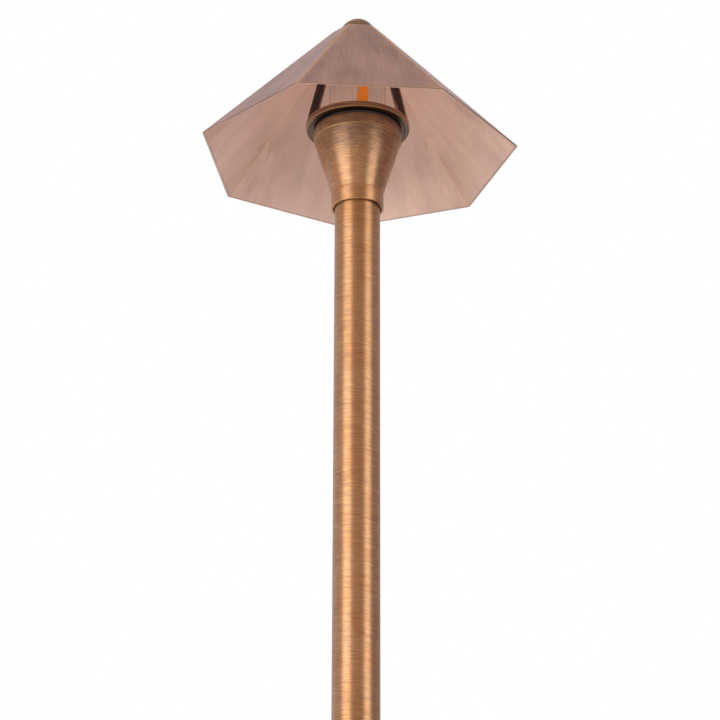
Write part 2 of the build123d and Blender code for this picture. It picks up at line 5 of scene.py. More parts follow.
import bpy
import numpy as np
from bpy.props import FloatProperty, FloatVectorProperty, IntProperty, PointerProperty
from mathutils import Matrix, Quaternion, Vector


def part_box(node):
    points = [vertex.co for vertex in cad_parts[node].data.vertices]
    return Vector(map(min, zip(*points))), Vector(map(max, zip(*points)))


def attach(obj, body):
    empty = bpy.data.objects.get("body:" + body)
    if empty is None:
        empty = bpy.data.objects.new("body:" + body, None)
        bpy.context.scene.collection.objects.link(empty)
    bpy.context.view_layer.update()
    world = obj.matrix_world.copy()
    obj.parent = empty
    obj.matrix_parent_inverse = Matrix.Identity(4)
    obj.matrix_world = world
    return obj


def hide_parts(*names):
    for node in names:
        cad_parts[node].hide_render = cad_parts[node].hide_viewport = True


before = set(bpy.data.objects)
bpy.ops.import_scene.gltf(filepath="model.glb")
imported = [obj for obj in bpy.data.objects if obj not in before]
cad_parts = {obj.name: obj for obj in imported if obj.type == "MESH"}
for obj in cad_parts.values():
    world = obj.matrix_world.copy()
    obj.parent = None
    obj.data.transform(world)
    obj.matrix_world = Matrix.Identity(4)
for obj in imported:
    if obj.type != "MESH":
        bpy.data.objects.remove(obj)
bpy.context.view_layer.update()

bl_info = {
    "name": "Path Light",
    "version": (1, 0, 0),
    "blender": (4, 5, 0),
    "location": "View3D > Sidebar > Path Light",
    "description": "Builds a bronze path light's pieces, their finishes and a studio to see them in",
    "category": "Object",
}

MM = 0.001
GUARDS = (0.12 * MM, 0.35 * MM, 0.8 * MM)  # places of extra points beside each rounded edge
RUB_REACH = 0.14 * MM  # how far from an edge its rubbed finish fades out
SOFT_BEND = 2.0 * MM  # a larger rounding is a soft bend, which is neither rubbed nor a hollow


# Places and sizes read from the frame, in metres


def low(node):
    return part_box(node)[0]


def high(node):
    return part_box(node)[1]


def reach(node):
    """Half a round node's width: its outer radius."""
    return (high(node).x - low(node).x) / 2


# Sizes and colours that a user would change


def length(name, description, millimetres):
    return FloatProperty(name=name, description=description, default=millimetres * MM, min=0.0,
                         subtype="DISTANCE", unit="LENGTH", precision=5)


def colour(name, description, red, green, blue):
    return FloatVectorProperty(name=name, description=description, default=(red, green, blue), size=3,
                               min=0.0, max=1.0, subtype="COLOR")


def share(name, description, value):
    return FloatProperty(name=name, description=description, default=value, min=0.0, max=1.0,
                         subtype="FACTOR")


def angle(name, description, degrees):
    return FloatProperty(name=name, description=description, default=radians(degrees), subtype="ANGLE",
                         unit="ROTATION")


def power(name, description, watts):
    return FloatProperty(name=name, description=description, default=watts, min=0.0, subtype="POWER",
                         unit="POWER")


class ShadeSizes(bpy.types.PropertyGroup):
    sides: IntProperty(name="Sides", description="Number of the shade's facets", default=7, min=3)
    sheet: length("Sheet", "Thickness of the shade's sheet", 1.2)
    corner: length("Corner radius", "Distance of the rim's corners from the axis", 91.0)
    apex: length("Apex height", "Height above the rim at which the facets would meet", 93.8)
    turn: angle("Turn", "Angle by which the front facet is turned to the right", 4.9)
    fold: length("Fold", "Outer radius of the folds between facets", 1.7)
    inner_fold: length("Inner fold", "Inner radius of the folds between facets", 0.8)
    hole: length("Hole radius", "Radius of the hole for the finial's stud", 2.8)


class HousingSizes(bpy.types.PropertyGroup):
    collar: length("Collar radius", "Outer radius of the collar", 14.72)
    socket: length("Collar bore", "Radius of the bore that takes the stem", 12.9)
    mouth: length("Mouth radius", "Radius of the collar's wider mouth", 13.55)
    mouth_depth: length("Mouth depth", "Depth of the collar's wider mouth", 3.0)
    collar_height: length("Collar height", "From the collar's lip to the foot of the cone", 10.1)
    line_drop: length("Line drop", "From the foot of the cone down to the turned line", 1.2)
    band_height: length("Band height", "Height of the band at the top", 6.7)
    band_step: length("Band step", "How far the band stands out from the cone", 0.5)
    ledge_depth: length("Ledge depth", "Depth of the ledge that carries the lens", 6.0)
    web: length("Web", "Thickness of the threaded web above the stem", 8.0)
    collar_depth: length("Collar depth", "From the web down to the collar's lip", 9.6)
    wall: length("Wall", "Wall of the cone", 3.0)
    cage_bore: length("Cage bore", "Radius of the bore that the cage screws into", 21.0)
    lens_hole: length("Lens hole", "Radius of the opening under the lens", 16.8)
    nipple_hole: length("Nipple hole", "Radius of the web's threaded hole", 10.5)
    boss: length("Boss", "Radius of the two bosses for the bracket", 3.2)
    boss_root: length("Boss root", "How far the bosses reach down into the web", 1.5)
    screw_head: length("Screw head", "Radius of the heads of the bracket's screws", 2.5)


class CageSizes(bpy.types.PropertyGroup):
    ring: length("Ring thickness", "Thickness of the ring", 3.3)
    skirt: length("Skirt radius", "Outer radius of the threaded skirt", 20.95)
    skirt_bore: length("Skirt bore", "Inner radius of the threaded skirt", 19.1)
    lens_hole: length("Lens hole", "Radius of the hole that the lens stands through", 16.8)
    lip: length("Lip", "Height of the lip over the skirt's lower end", 5.0)
    arm: length("Arm thickness", "Thickness of an arm", 4.7)
    arm_width: length("Arm width", "Width of an arm", 6.0)
    lean: angle("Lean", "Angle by which the arms lean in", 13.0)
    inset: length("Arm inset", "How far the arms' feet stand in from the ring's edge", 0.25)
    foot_bend: length("Foot bend", "Radius of the bend where an arm leaves the ring", 2.0)
    knee: length("Knee", "Radius of the bend between an arm and its shoulder", 5.0)
    hub_reach: length("Hub reach", "How far an arm's shoulder reaches into the hub", 2.2)
    hub: length("Hub radius", "Radius of the hub under the shade", 11.94)
    hub_height: length("Hub height", "Thickness of the hub", 4.0)
    hub_hole: length("Hub hole", "Radius of the hub's threaded hole", 2.55)
    pitch: length("Thread pitch", "Pitch of the skirt's thread", 1.5)


class LensSizes(bpy.types.PropertyGroup):
    radius: length("Radius", "Outer radius of the tube", 16.0)
    wall: length("Wall", "Wall of the tube and the dome", 1.8)
    flange: length("Flange", "Thickness of the foot flange", 3.0)


class FinialSizes(bpy.types.PropertyGroup):
    ball: length("Ball radius", "Radius of the ball that the finial's cap is a part of", 10.6)
    stud: length("Stud radius", "Radius of the threaded stud", 2.5)
    pitch: length("Thread pitch", "Pitch of the stud's thread", 0.8)


class LampSizes(bpy.types.PropertyGroup):
    cut: length("Corner cut", "How far the strip's upper left corner is drawn in", 1.1)
    drop: length("Corner drop", "How far down its edge the strip is drawn in", 11.0)


class StemSizes(bpy.types.PropertyGroup):
    bore: length("Bore", "Inner radius of the tube", 11.1)
    plug_gap: length("Plug gap", "Gap between the bore and the plugs", 0.05)
    wire_hole: length("Wire hole", "Radius of the hole for the wires through both plugs", 5.6)
    pipe: length("Thread radius", "Outer radius of the pipe thread on both plugs", 10.45)
    pitch: length("Thread pitch", "Pitch of the pipe thread", 1.814)
    cut_edge: length("Cut edge", "Rounding of the cut edges", 0.3)


class Finishes(bpy.types.PropertyGroup):
    sheet: colour("Shade outside", "Antique bronze on the outside of the shade", 0.55, 0.34, 0.27)
    sheet_inside: colour("Shade inside", "Lighter bronze on the inside of the shade", 0.82, 0.59, 0.50)
    turned: colour("Turned bronze", "Bronze of the stem and the lamp housing", 0.66, 0.365, 0.18)
    patina: colour("Patina", "Dark patina in hollows and streaks", 0.13, 0.088, 0.068)
    rubbed: colour("Rubbed edge", "Bare metal where edges are rubbed", 0.78, 0.45, 0.17)
    cage: colour("Cage bronze", "Dark bronze of the cage and the finial", 0.315, 0.205, 0.16)
    blackened: colour("Blackened bronze", "Nearly black bronze of the arms", 0.072, 0.058, 0.062)
    phosphor: colour("Phosphor", "Orange coating of the lamp", 0.92, 0.25, 0.018)
    # Colour of the darker streaks along the folds low inside the shade
    marks: colour("Finger marks", "Brown of the finger marks inside the shade", 0.50, 0.32, 0.26)
    brushing: share("Brushing", "How plainly the brushed lines show", 0.5)


class Studio(bpy.types.PropertyGroup):
    lens: FloatProperty(name="Focal length", description="Camera lens in millimetres", default=136.48,
                        unit="CAMERA")
    stand: FloatVectorProperty(name="Camera place", description="Where the camera stands", size=3,
                               default=(0.0, -1.3645, -0.2332), subtype="TRANSLATION", unit="LENGTH")
    tilt: angle("Tilt", "How far the camera looks up", 23.76)
    roll: angle("Roll", "Turn about the line of sight", 0.14)
    pan: angle("Pan", "Turn to the right", 0.07)
    floor: FloatProperty(name="Floor", description="Height of the floor", default=-0.25, unit="LENGTH",
                         subtype="DISTANCE")
    key: power("Left softbox", "Power of the tall softbox on the left", 23.0)
    second: power("Right softbox", "Power of the tall softbox on the right", 15.8)
    fill: power("Low softbox", "Power of the softbox below the shade", 14.6)


class PathLightSettings(bpy.types.PropertyGroup):
    shade: PointerProperty(type=ShadeSizes)
    housing: PointerProperty(type=HousingSizes)
    cage: PointerProperty(type=CageSizes)
    lens: PointerProperty(type=LensSizes)
    lamp: PointerProperty(type=LampSizes)
    stem: PointerProperty(type=StemSizes)
    finial: PointerProperty(type=FinialSizes)
    finishes: PointerProperty(type=Finishes)
    studio: PointerProperty(type=Studio)


# Surfaces


def rounded_outline(corners, closed=True, arc_points=7):
    """Points of an outline whose corners are arcs, as an (n, 2) array, and each point's rub.

    A corner is (r, z, rounding) or (r, z, rounding, step), step being the longest gap between points on the
    run to the next corner. With half the corner's angle h, the arc starts rounding / tan(h) before the
    corner and its centre is rounding / sin(h) from it, on the bisector. The rub is 1 on an outward arc, -1
    on an inward one, 0 on a soft bend, and fades with the distance along the runs. Runs are taken with the
    solid on their left.
    """
    places = np.array([c[:2] for c in corners], float)
    count = len(corners)
    starts, ends, arcs, signs = [], [], [], []
    for i, corner in enumerate(corners):
        here, before, after = places[i], places[i - 1], places[(i + 1) % count]
        rounding = corner[2]
        at_end = not closed and i in (0, count - 1)
        into, out = before - here, after - here
        into, out = into / np.hypot(*into), out / np.hypot(*out)
        turn = into[1] * out[0] - into[0] * out[1]
        if at_end or rounding <= 0 or abs(turn) < 1e-6:
            arcs.append(here[None, :])
            starts.append(here)
            ends.append(here)
            signs.append(0.0 if at_end or abs(turn) < 1e-6 else np.sign(turn))
            continue
        half = np.arccos(np.clip(into @ out, -1, 1)) / 2
        bisector = (into + out) / np.hypot(*(into + out))
        centre = here + bisector * rounding / np.sin(half)
        first, last = here + into * rounding / np.tan(half), here + out * rounding / np.tan(half)
        sweep = pi - 2 * half
        t = np.linspace(0, 1, arc_points)[:, None]
        a, b = first - centre, last - centre
        arcs.append(centre + (np.sin((1 - t) * sweep) * a + np.sin(t * sweep) * b) / np.sin(sweep))
        starts.append(first)
        ends.append(last)
        signs.append(np.sign(turn) if rounding < SOFT_BEND else 0.0)
    points, rubs = [], []
    for i in range(count):
        points.append(arcs[i])
        rubs.append(np.full(len(arcs[i]), signs[i]))
        if not closed and i == count - 1:
            break
        j = (i + 1) % count
        run = starts[j] - ends[i]
        size = np.hypot(*run)
        step = corners[i][3] if len(corners[i]) > 3 else size
        inner = np.linspace(0, size, max(2, int(np.ceil(size / max(step, 1e-6))) + 1))
        guards = np.array([g for g in GUARDS if g < 0.45 * size])
        along = np.unique(np.concatenate([inner, guards, size - guards]).round(8))
        along = along[(along > 1e-7) & (along < size - 1e-7)]
        points.append(ends[i] + run / size * along[:, None])
        rubs.append(signs[i] * np.exp(-along / RUB_REACH) + signs[j] * np.exp((along - size) / RUB_REACH))
    return np.concatenate(points), np.clip(np.concatenate(rubs), -1, 1)


def grid_faces(rows, columns, loop_rows):
    """Corner numbers of a grid's quads. It is closed round its columns, and down its rows if told so."""
    i = np.arange(rows if loop_rows else rows - 1)[:, None]
    j = np.arange(columns)[None, :]
    after_i, after_j = (i + 1) % rows, (j + 1) % columns
    corners = [i * columns + j, i * columns + after_j, after_i * columns + after_j, after_i * columns + j]
    return np.stack(np.broadcast_arrays(*corners), axis=-1).reshape(-1, 4)


def outward(points, faces):
    """The faces, turned over if the volume that they enclose, the sum of a . (b x c) / 6, is negative."""
    a, b, c = points[faces[:, 0]], points[faces[:, 1]], points[faces[:, 2]]
    d = points[faces[:, -1]]
    volume = (a * np.cross(b, c)).sum() + (a * np.cross(c, d)).sum()
    return faces if volume > 0 else faces[:, ::-1]


def new_piece(name, points, faces, triangles=(), uv=None, **attributes):
    """A smooth mesh object from whole arrays, with a UV point and named values for each of its points."""
    mesh = bpy.data.meshes.new(name)
    mesh.from_pydata(points.tolist(), [], faces.tolist() + list(triangles))
    mesh.polygons.foreach_set("use_smooth", np.ones(len(mesh.polygons), bool))
    corner_points = np.empty(len(mesh.loops), int)
    mesh.loops.foreach_get("vertex_index", corner_points)
    if uv is not None:
        mesh.uv_layers.new(name="surface").data.foreach_set("uv", uv[corner_points].ravel())
    for key, values in attributes.items():
        layer = mesh.attributes.new(key, "FLOAT", "POINT")
        layer.data.foreach_set("value", np.asarray(values, float).ravel())
    mesh.validate()
    mesh.update()
    piece = bpy.data.objects.new(name, mesh)
    bpy.context.scene.collection.objects.link(piece)
    return piece


def capped_piece(name, rings, ends, rub=None):
    """A closed piece from rings, an array (rows, columns, 3), and the two points that close its ends.

    Each end is a fan of triangles round its point. All faces are turned outwards together.
    """
    rows, columns = rings.shape[:2]
    points = np.concatenate([rings.reshape(-1, 3), ends])
    j = np.arange(columns)
    after, last_row = (j + 1) % columns, (rows - 1) * columns
    first_end = np.full(columns, rows * columns)
    fans = np.concatenate([np.stack([first_end, after, j], axis=-1),
                           np.stack([first_end + 1, last_row + j, last_row + after], axis=-1)])
    sides = grid_faces(rows, columns, False)
    turned_sides = outward(points, sides)
    if turned_sides is not sides:
        fans = fans[:, ::-1]
    attributes = {} if rub is None else {"rub": np.append(rub, [0, 0])}
    return new_piece(name, points, turned_sides, fans.tolist(), **attributes)


def turned(name, corners, columns=160, closed=True, relief=None, centre_x=0.0):
    """A turned piece: its outline carried round an upright axis.

    At angle a, the outline's point (r, z) stands at (r cos a, r sin a, z), and relief(a, r, z) is added to
    r. An open outline starts and ends on the axis, where a row shrinks to a single point.
    """
    outline, rub = rounded_outline(corners, closed)
    if not closed:
        outline, rub = outline[1:-1], rub[1:-1]
    a = np.linspace(0, 2 * pi, columns, endpoint=False)[None, :]
    r, z = outline[:, :1] + 0 * a, outline[:, 1:] + 0 * a
    if relief is not None:
        r = r + relief(a, r, z)
    rings = np.stack([centre_x + r * np.cos(a), r * np.sin(a), z], axis=-1)
    rub = np.repeat(rub, columns)
    if not closed:
        return capped_piece(name, rings, [(centre_x, 0, corners[0][1]), (centre_x, 0, corners[-1][1])], rub)
    points = rings.reshape(-1, 3)
    return new_piece(name, points, outward(points, grid_faces(len(outline), columns, True)), rub=rub)


def dome_corners(radius, foot, count):
    """Corners of a dome's outline between its pole and its foot: (radius cos a, foot + radius sin a)."""
    return [(radius * cos(a), foot + radius * sin(a), 0) for a in np.linspace(pi / 2, 0, count)[1:-1]]


def thread(radius, bottom, top, pitch, depth):
    """A right-hand thread's relief between two heights: raised-cosine grooves, climbing by pitch a turn."""

    def relief(a, r, z):
        groove = 0.5 - 0.5 * np.cos(2 * pi * (z / pitch - a / (2 * pi)))
        ends = np.clip((z - bottom) / pitch, 0, 1) * np.clip((top - z) / pitch, 0, 1)
        return np.where(np.abs(r - radius) < 0.02 * MM, -depth * groove * ends, 0.0)

    return relief


def swept_bar(name, path, width, thick, rounding):
    """A bar of rounded rectangular section, carried along a path in the X-Z plane.

    At each point of the path, the section's width lies along Y and its thickness along the path's normal,
    which is the tangent (tx, tz) turned to (tz, -tx).
    """
    w, t = width / 2, thick / 2
    section, rub = rounded_outline([(a, b, rounding) for a, b in ((-t, -w), (t, -w), (t, w), (-t, w))])
    tangent = np.gradient(path, axis=0)
    tangent /= np.hypot(tangent[:, 0], tangent[:, 1])[:, None]
    x = path[:, :1] + tangent[:, 1:] * section[None, :, 0]
    z = path[:, 1:] - tangent[:, :1] * section[None, :, 0]
    rings = np.stack([x, np.broadcast_to(section[None, :, 1], x.shape), z], axis=-1)
    return capped_piece(name, rings, [rings[0].mean(0), rings[-1].mean(0)], np.tile(rub, len(path)))


def folded_shell(name, sides, turn, profile, folds, rub):
    """A pyramid of folded sheet: a profile of (apothem, z) carried round a polygon with rounded corners.

    The profile is closed. With half a facet's angle h = pi / sides, a point on a facet is apothem along its
    normal and up to (apothem - fold) tan(h) along it. Each corner is an arc of radius fold about a centre
    (apothem - fold) / cos(h) from the axis. Where fold equals the apothem, the polygon is a circle.
    """
    h = pi / sides
    apothem, z = profile[:, 0][:, None, None], profile[:, 1][:, None, None]
    fold = folds[:, None, None]
    half = (apothem - fold) * tan(h)
    gaps = np.array([0.0, 0.4, 1.0, 2.2, 5.0, 11.0]) * MM
    limits = np.array([0.0, 0.08, 0.2, 0.4, 0.6, 0.8])
    from_fold = np.minimum(gaps, limits * half)
    across = np.concatenate([-half + from_fold, 0 * half, half - from_fold[:, :, ::-1]], axis=-1)
    middle = turn - pi / 2 + 2 * h * np.arange(sides)[None, :, None]
    flat_x = apothem * np.cos(middle) - across * np.sin(middle)
    flat_y = apothem * np.sin(middle) + across * np.cos(middle)
    swing = np.linspace(-h, h, 9)[1:-1]
    corner = middle + h
    centre = (apothem - fold) / cos(h)
    arc_x = centre * np.cos(corner) + fold * np.cos(corner + swing)
    arc_y = centre * np.sin(corner) + fold * np.sin(corner + swing)
    x, y = np.concatenate([flat_x, arc_x], axis=-1), np.concatenate([flat_y, arc_y], axis=-1)
    edge_gap = half - np.abs(across)
    ridge, crease = (np.concatenate([np.exp(-edge_gap / (reach * MM)) + 0 * flat_x, 1 + 0 * arc_x], axis=-1)
                     for reach in (1.1, 9.0))
    # Each facet's sheet coordinates: across it, and up its slope
    along = np.concatenate([across + 0 * flat_x, half + fold * (swing + h) + 0 * arc_x], axis=-1)
    slope = np.concatenate([[0], np.cumsum(np.hypot(*np.diff(profile, axis=0).T))])[:, None, None]
    facet_shift = 0.37 * np.arange(sides)[None, :, None]
    uv = np.stack([along + facet_shift, slope + 0 * x + facet_shift], axis=-1).reshape(-1, 2)
    points = np.stack([x, y, z + 0 * x], axis=-1).reshape(-1, 3)
    rows, columns = x.shape[0], x.shape[1] * x.shape[2]
    faces = outward(points, grid_faces(rows, columns, True))
    return new_piece(name, points, faces, uv=uv, ridge=ridge.ravel(), crease=crease.ravel(),
                     rub=np.repeat(rub, columns))


# Node trees


def fill(tree, node, inputs):
    """Sets each of a node's named inputs to a value, or links it to another node's output."""
    for key, value in inputs.items():
        if isinstance(value, bpy.types.NodeSocket):
            tree.links.new(value, node.inputs[key])
        else:
            node.inputs[key].default_value = value


def add(tree, kind, inputs=None, **properties):
    """A new node with its settings and its inputs."""
    node = tree.nodes.new(kind)
    for key, value in properties.items():
        setattr(node, key, value)
    fill(tree, node, inputs or {})
    return node


def calc(tree, operation, *values):
    return add(tree, "ShaderNodeMath", dict(enumerate(values)), operation=operation).outputs[0]


def plus(tree, total, *others):
    for other in others:
        total = calc(tree, "ADD", total, other)
    return total


def times(tree, product, *others):
    for other in others:
        product = calc(tree, "MULTIPLY", product, other)
    return product


def balance(tree, first, second, weight):
    """The sum of two values, the first counting by the weight and the second by what is left of 1."""
    return plus(tree, times(tree, first, weight), times(tree, second, 1 - weight))


def vector_calc(tree, operation, *values):
    node = add(tree, "ShaderNodeVectorMath", dict(enumerate(values)), operation=operation)
    return node.outputs["Value"] if operation == "LENGTH" else node.outputs["Vector"]


def xyz(tree, vector):
    return add(tree, "ShaderNodeSeparateXYZ", {0: vector}).outputs


def mix_colours(tree, factor, first, second):
    first, second = (c if isinstance(c, bpy.types.NodeSocket) else (*c, 1.0) for c in (first, second))
    node = add(tree, "ShaderNodeMix", data_type="RGBA")
    fill(tree, node, {0: factor, 6: first, 7: second})
    return node.outputs[2]


def spread(tree, value, low_in, high_in, low_out=0.0, high_out=1.0):
    """The value, moved from one range to another and kept in it."""
    inputs = {"Value": value, "From Min": low_in, "From Max": high_in, "To Min": low_out, "To Max": high_out}
    return add(tree, "ShaderNodeMapRange", inputs).outputs["Result"]


def noise(tree, vector, scale, detail=2.0, roughness=0.5):
    inputs = {"Vector": vector, "Scale": scale, "Detail": detail, "Roughness": roughness}
    return add(tree, "ShaderNodeTexNoise", inputs).outputs["Fac"]


def stretched(tree, vector, scale_x, scale_y, scale_z=1.0):
    return vector_calc(tree, "MULTIPLY", vector, (scale_x, scale_y, scale_z))


def start_material(name):
    """A new material's node tree, with its principled shader."""
    material = bpy.data.materials.new(name)
    material.use_nodes = True
    return material, material.node_tree, material.node_tree.nodes["Principled BSDF"]


def attribute(tree, name):
    return add(tree, "ShaderNodeAttribute", attribute_name=name, attribute_type="GEOMETRY").outputs["Fac"]


def object_place(tree):
    return add(tree, "ShaderNodeTexCoord").outputs["Object"]


def round_axis(tree, place, *scales):
    """The direction from the axis, the height, and coordinates for lines round the axis at each pair of
    scales, the first round it and the second across the lines.

    Across the lines they are z + 0.62 r, which also climbs a cone and crosses a flat face, with a slow
    wander and a slight tilt, 0.07 x.
    """
    x, _, height = xyz(tree, place)
    flat = stretched(tree, place, 1.0, 1.0, 0.0)
    direction = vector_calc(tree, "NORMALIZE", flat)
    slow = vector_calc(tree, "ADD", stretched(tree, direction, 0.8, 0.8, 0.0),
                       stretched(tree, place, 0.0, 0.0, 30.0))
    wander = spread(tree, noise(tree, slow, 1.0, 1.0), 0.0, 1.0, -0.4 * MM, 0.4 * MM)
    slant = calc(tree, "MULTIPLY_ADD", vector_calc(tree, "LENGTH", flat), 0.62, times(tree, x, 0.07))
    upright = add(tree, "ShaderNodeCombineXYZ", {"Z": plus(tree, height, slant, wander)}).outputs[0]
    lines = [vector_calc(tree, "ADD", stretched(tree, direction, scale, scale, 0.0),
                         stretched(tree, upright, 0.0, 0.0, cross_scale)) for scale, cross_scale in scales]
    return direction, height, *lines


def bump(tree, height, distance, strength=1.0):
    inputs = {"Height": height, "Distance": distance, "Strength": strength}
    return add(tree, "ShaderNodeBump", inputs).outputs["Normal"]


def turned_bronze(name, base, patina, rubbed, brushing, gloss=0.44, edge_wear=1.0, dark=0.0,
                  painted_shade_band=(0.0, 1.0, 0.0), smear=0.8, strokes=1.0, hollow=0.85, mottle=0.05, polish=0.0,
                  coat=0.5):
    """Lacquered bronze brushed on a lathe: fine lines round the axis with a few bright and dark ones among
    them, patina in clouds, small patches and hollows, and bare metal on edges.

    Between two heights shade is painted in, in the patina's colour, by the third value of the painted shade
    band and more on the right side, and the surface grows smoother there by polish. More strokes break the
    lines into shorter ones.
    """
    material, tree, shader = start_material(name)
    place = object_place(tree)
    direction, height, lines, fine_lines, glints, scores = round_axis(
        tree, place, (0.8 * strokes, 2600.0), (2.2 * strokes, 4200.0), (0.6 * strokes, 2700.0),
        (0.7 * strokes, 2300.0))
    broad = noise(tree, lines, 1.0, 3.0, 0.65)
    brush = balance(tree, broad, noise(tree, fine_lines, 1.0, 2.0, 0.6), 0.6)
    glint = noise(tree, glints, 1.0, 1.0, 0.5)
    score = noise(tree, scores, 1.0, 1.0, 0.5)
    cloud = spread(tree, noise(tree, place, 55.0, 4.0, 0.6), 0.32, 0.68)
    patch = noise(tree, stretched(tree, place, 220.0, 220.0, 380.0), 1.0, 4.0, 0.65)
    hue = noise(tree, stretched(tree, place, 110.0, 110.0, 60.0), 1.0, 2.0, 0.5)
    # Painted shade: between the band's two heights the patina's colour stands in for shade, more on the right
    # side, where less light falls
    depth = spread(tree, height, *painted_shade_band[:2])
    on_right = spread(tree, xyz(tree, direction)["X"], 0.2, 0.9, 1.0, 1.45)
    deeper = times(tree, depth, painted_shade_band[2], spread(tree, cloud, 0.0, 1.0, 0.6, 1.4), on_right)
    streak = times(tree, spread(tree, brush, 0.36, 0.64, 0.6, -0.6), brushing)
    amount = plus(tree, deeper, spread(tree, patch, 0.48, 0.68, 0.0, mottle), streak,
                  spread(tree, cloud, 0.0, 1.0, 0.18, 0.24), dark)
    redder = (0.93 * base[0], 0.84 * base[1], 0.72 * base[2])
    metal = mix_colours(tree, spread(tree, hue, 0.42, 0.62), base, redder)
    metal = mix_colours(tree, spread(tree, amount, 0.0, 1.0), metal, patina)
    metal = mix_colours(tree, spread(tree, glint, 0.56, 0.7, 0.0, 1.4 * brushing), metal, rubbed)
    metal = mix_colours(tree, spread(tree, score, 0.42, 0.3, 0.0, 0.6 * brushing), metal, patina)
    rub = attribute(tree, "rub")
    worn = times(tree, spread(tree, rub, 0.3, 1.0, 0.0, edge_wear), spread(tree, broad, 0.3, 0.6, 0.4, 1.0))
    metal = mix_colours(tree, worn, metal, rubbed)
    metal = mix_colours(tree, spread(tree, rub, -0.15, -0.95, 0.0, hollow), metal, patina)
    rough = spread(tree, brush, 0.3, 0.7, gloss + 0.07, gloss - 0.05)
    # The highlight stretches across the lines: up an upright wall, and away from the axis on a flat face
    stretch = vector_calc(tree, "ADD", stretched(tree, direction, 0.6, 0.6, 0.0), (0.0, 0.0, 1.0))
    tangent = add(tree, "ShaderNodeVectorTransform", {0: stretch}, vector_type="VECTOR",
                  convert_from="OBJECT", convert_to="WORLD").outputs[0]
    fill(tree, shader, {
        "Base Color": metal, "Metallic": 1.0,
        "Roughness": calc(tree, "SUBTRACT", rough, times(tree, depth, polish)),
        "Coat Weight": coat, "Coat Roughness": 0.38, "Anisotropic": smear, "Tangent": tangent,
        "Normal": bump(tree, brush, 0.05 * MM, 0.5),
    })
    return material


def sheet_bronze(name, base, patina, rubbed, brushing, ridge_wear, gloss=0.36, blotches=0.46, metal_share=1.0,
                 marks=None, fold_streaks=0.0, painted_light_up=0.0):
    """Bronze sheet brushed up its slope before it was folded, with cross lines and rubbed folds and edges.

    The folds are worn more widely near the top, and the rim's rounded edge is painted bare in front only, a
    painted highlight. Darker streaks, of a colour of their own, lie along the folds lower down by the share
    given for them, and higher up the sheet is painted paler, painted light for the deep inside of the shade.
    """
    material, tree, shader = start_material(name)
    place = object_place(tree)
    _, depth, height = xyz(tree, place)
    rise = spread(tree, height, low("shade").z, high("shade").z)
    front = low("shade").y
    # Painted light: the sheet is painted paler and with less patina towards the top, for light that the deep
    # inside of the shade lacks
    painted_light_share = spread(tree, rise, 0.3, 0.7, 0.0, painted_light_up)
    base = mix_colours(tree, painted_light_share, base, tuple(min(1.0, 1.22 * c) for c in base))
    sheet = add(tree, "ShaderNodeUVMap", uv_map="surface").outputs[0]
    up = noise(tree, stretched(tree, sheet, 1500.0, 45.0), 1.0, 3.0, 0.6)
    brush = balance(tree, up, noise(tree, stretched(tree, sheet, 60.0, 1300.0), 1.0, 3.0, 0.6), 0.62)
    cloud = noise(tree, place, 22.0, 3.0, 0.55)
    streak = noise(tree, stretched(tree, sheet, 70.0, 14.0), 1.0, 2.0, 0.5)
    smudge = noise(tree, stretched(tree, sheet, 85.0, 34.0), 1.0, 4.0, 0.55)
    tone = times(tree, spread(tree, brush, 0.38, 0.62), brushing, -0.48)
    mood = times(tree, spread(tree, plus(tree, cloud, streak), 0.75, 1.25), blotches)
    amount = spread(tree, plus(tree, tone, mood, 0.17), 0.0, 1.0)
    metal = mix_colours(tree, times(tree, amount, spread(tree, painted_light_share, 0.0, 1.0, 1.0, 0.3)), base, patina)
    crease = attribute(tree, "crease")
    # Darker streaks in their own colour along the folds, lower down the shade
    if marks is not None:
        fold_streak = times(tree, spread(tree, smudge, 0.5, 0.56, 0.0, fold_streaks), spread(tree, crease, 0.25, 0.5),
                      spread(tree, rise, 0.5, 0.37))
        metal = mix_colours(tree, fold_streak, metal, marks)
    ridge = times(tree, spread(tree, attribute(tree, "ridge"), 0.25, 1.0, 0.0, ridge_wear),
                  spread(tree, up, 0.3, 0.6, 0.6, 1.0))
    high_up = times(tree, spread(tree, rise, 0.47, 0.98, 0.0, 0.75), spread(tree, smudge, 0.4, 0.6),
                    spread(tree, crease, 0.4, 1.0, 0.0, ridge_wear))
    rub = attribute(tree, "rub")
    # Painted highlight: the rim's rounded edge is painted bare metal in front, where the light catches it,
    # and only faintly elsewhere
    edge = times(tree, spread(tree, rub, 0.35, 1.0, 0.0, 0.9),
                 spread(tree, depth, 0.78 * front, 0.89 * front, 0.15))
    worn = calc(tree, "MAXIMUM", calc(tree, "MAXIMUM", ridge, high_up), edge)
    metal = mix_colours(tree, worn, metal, rubbed)
    metal = mix_colours(tree, spread(tree, rub, -0.3, -0.9, 0.0, 0.85), metal, patina)
    dents = bump(tree, noise(tree, place, 14.0, 1.0, 0.4), 0.9 * MM, 0.35)
    fine = add(tree, "ShaderNodeBump", {
        "Height": brush, "Distance": 0.05 * MM, "Strength": 0.3, "Normal": dents,
    })
    fill(tree, shader, {
        "Base Color": metal, "Metallic": metal_share, "Normal": fine.outputs["Normal"],
        "Roughness": spread(tree, brush, 0.35, 0.65, gloss + 0.06, gloss - 0.04),
    })
    return material


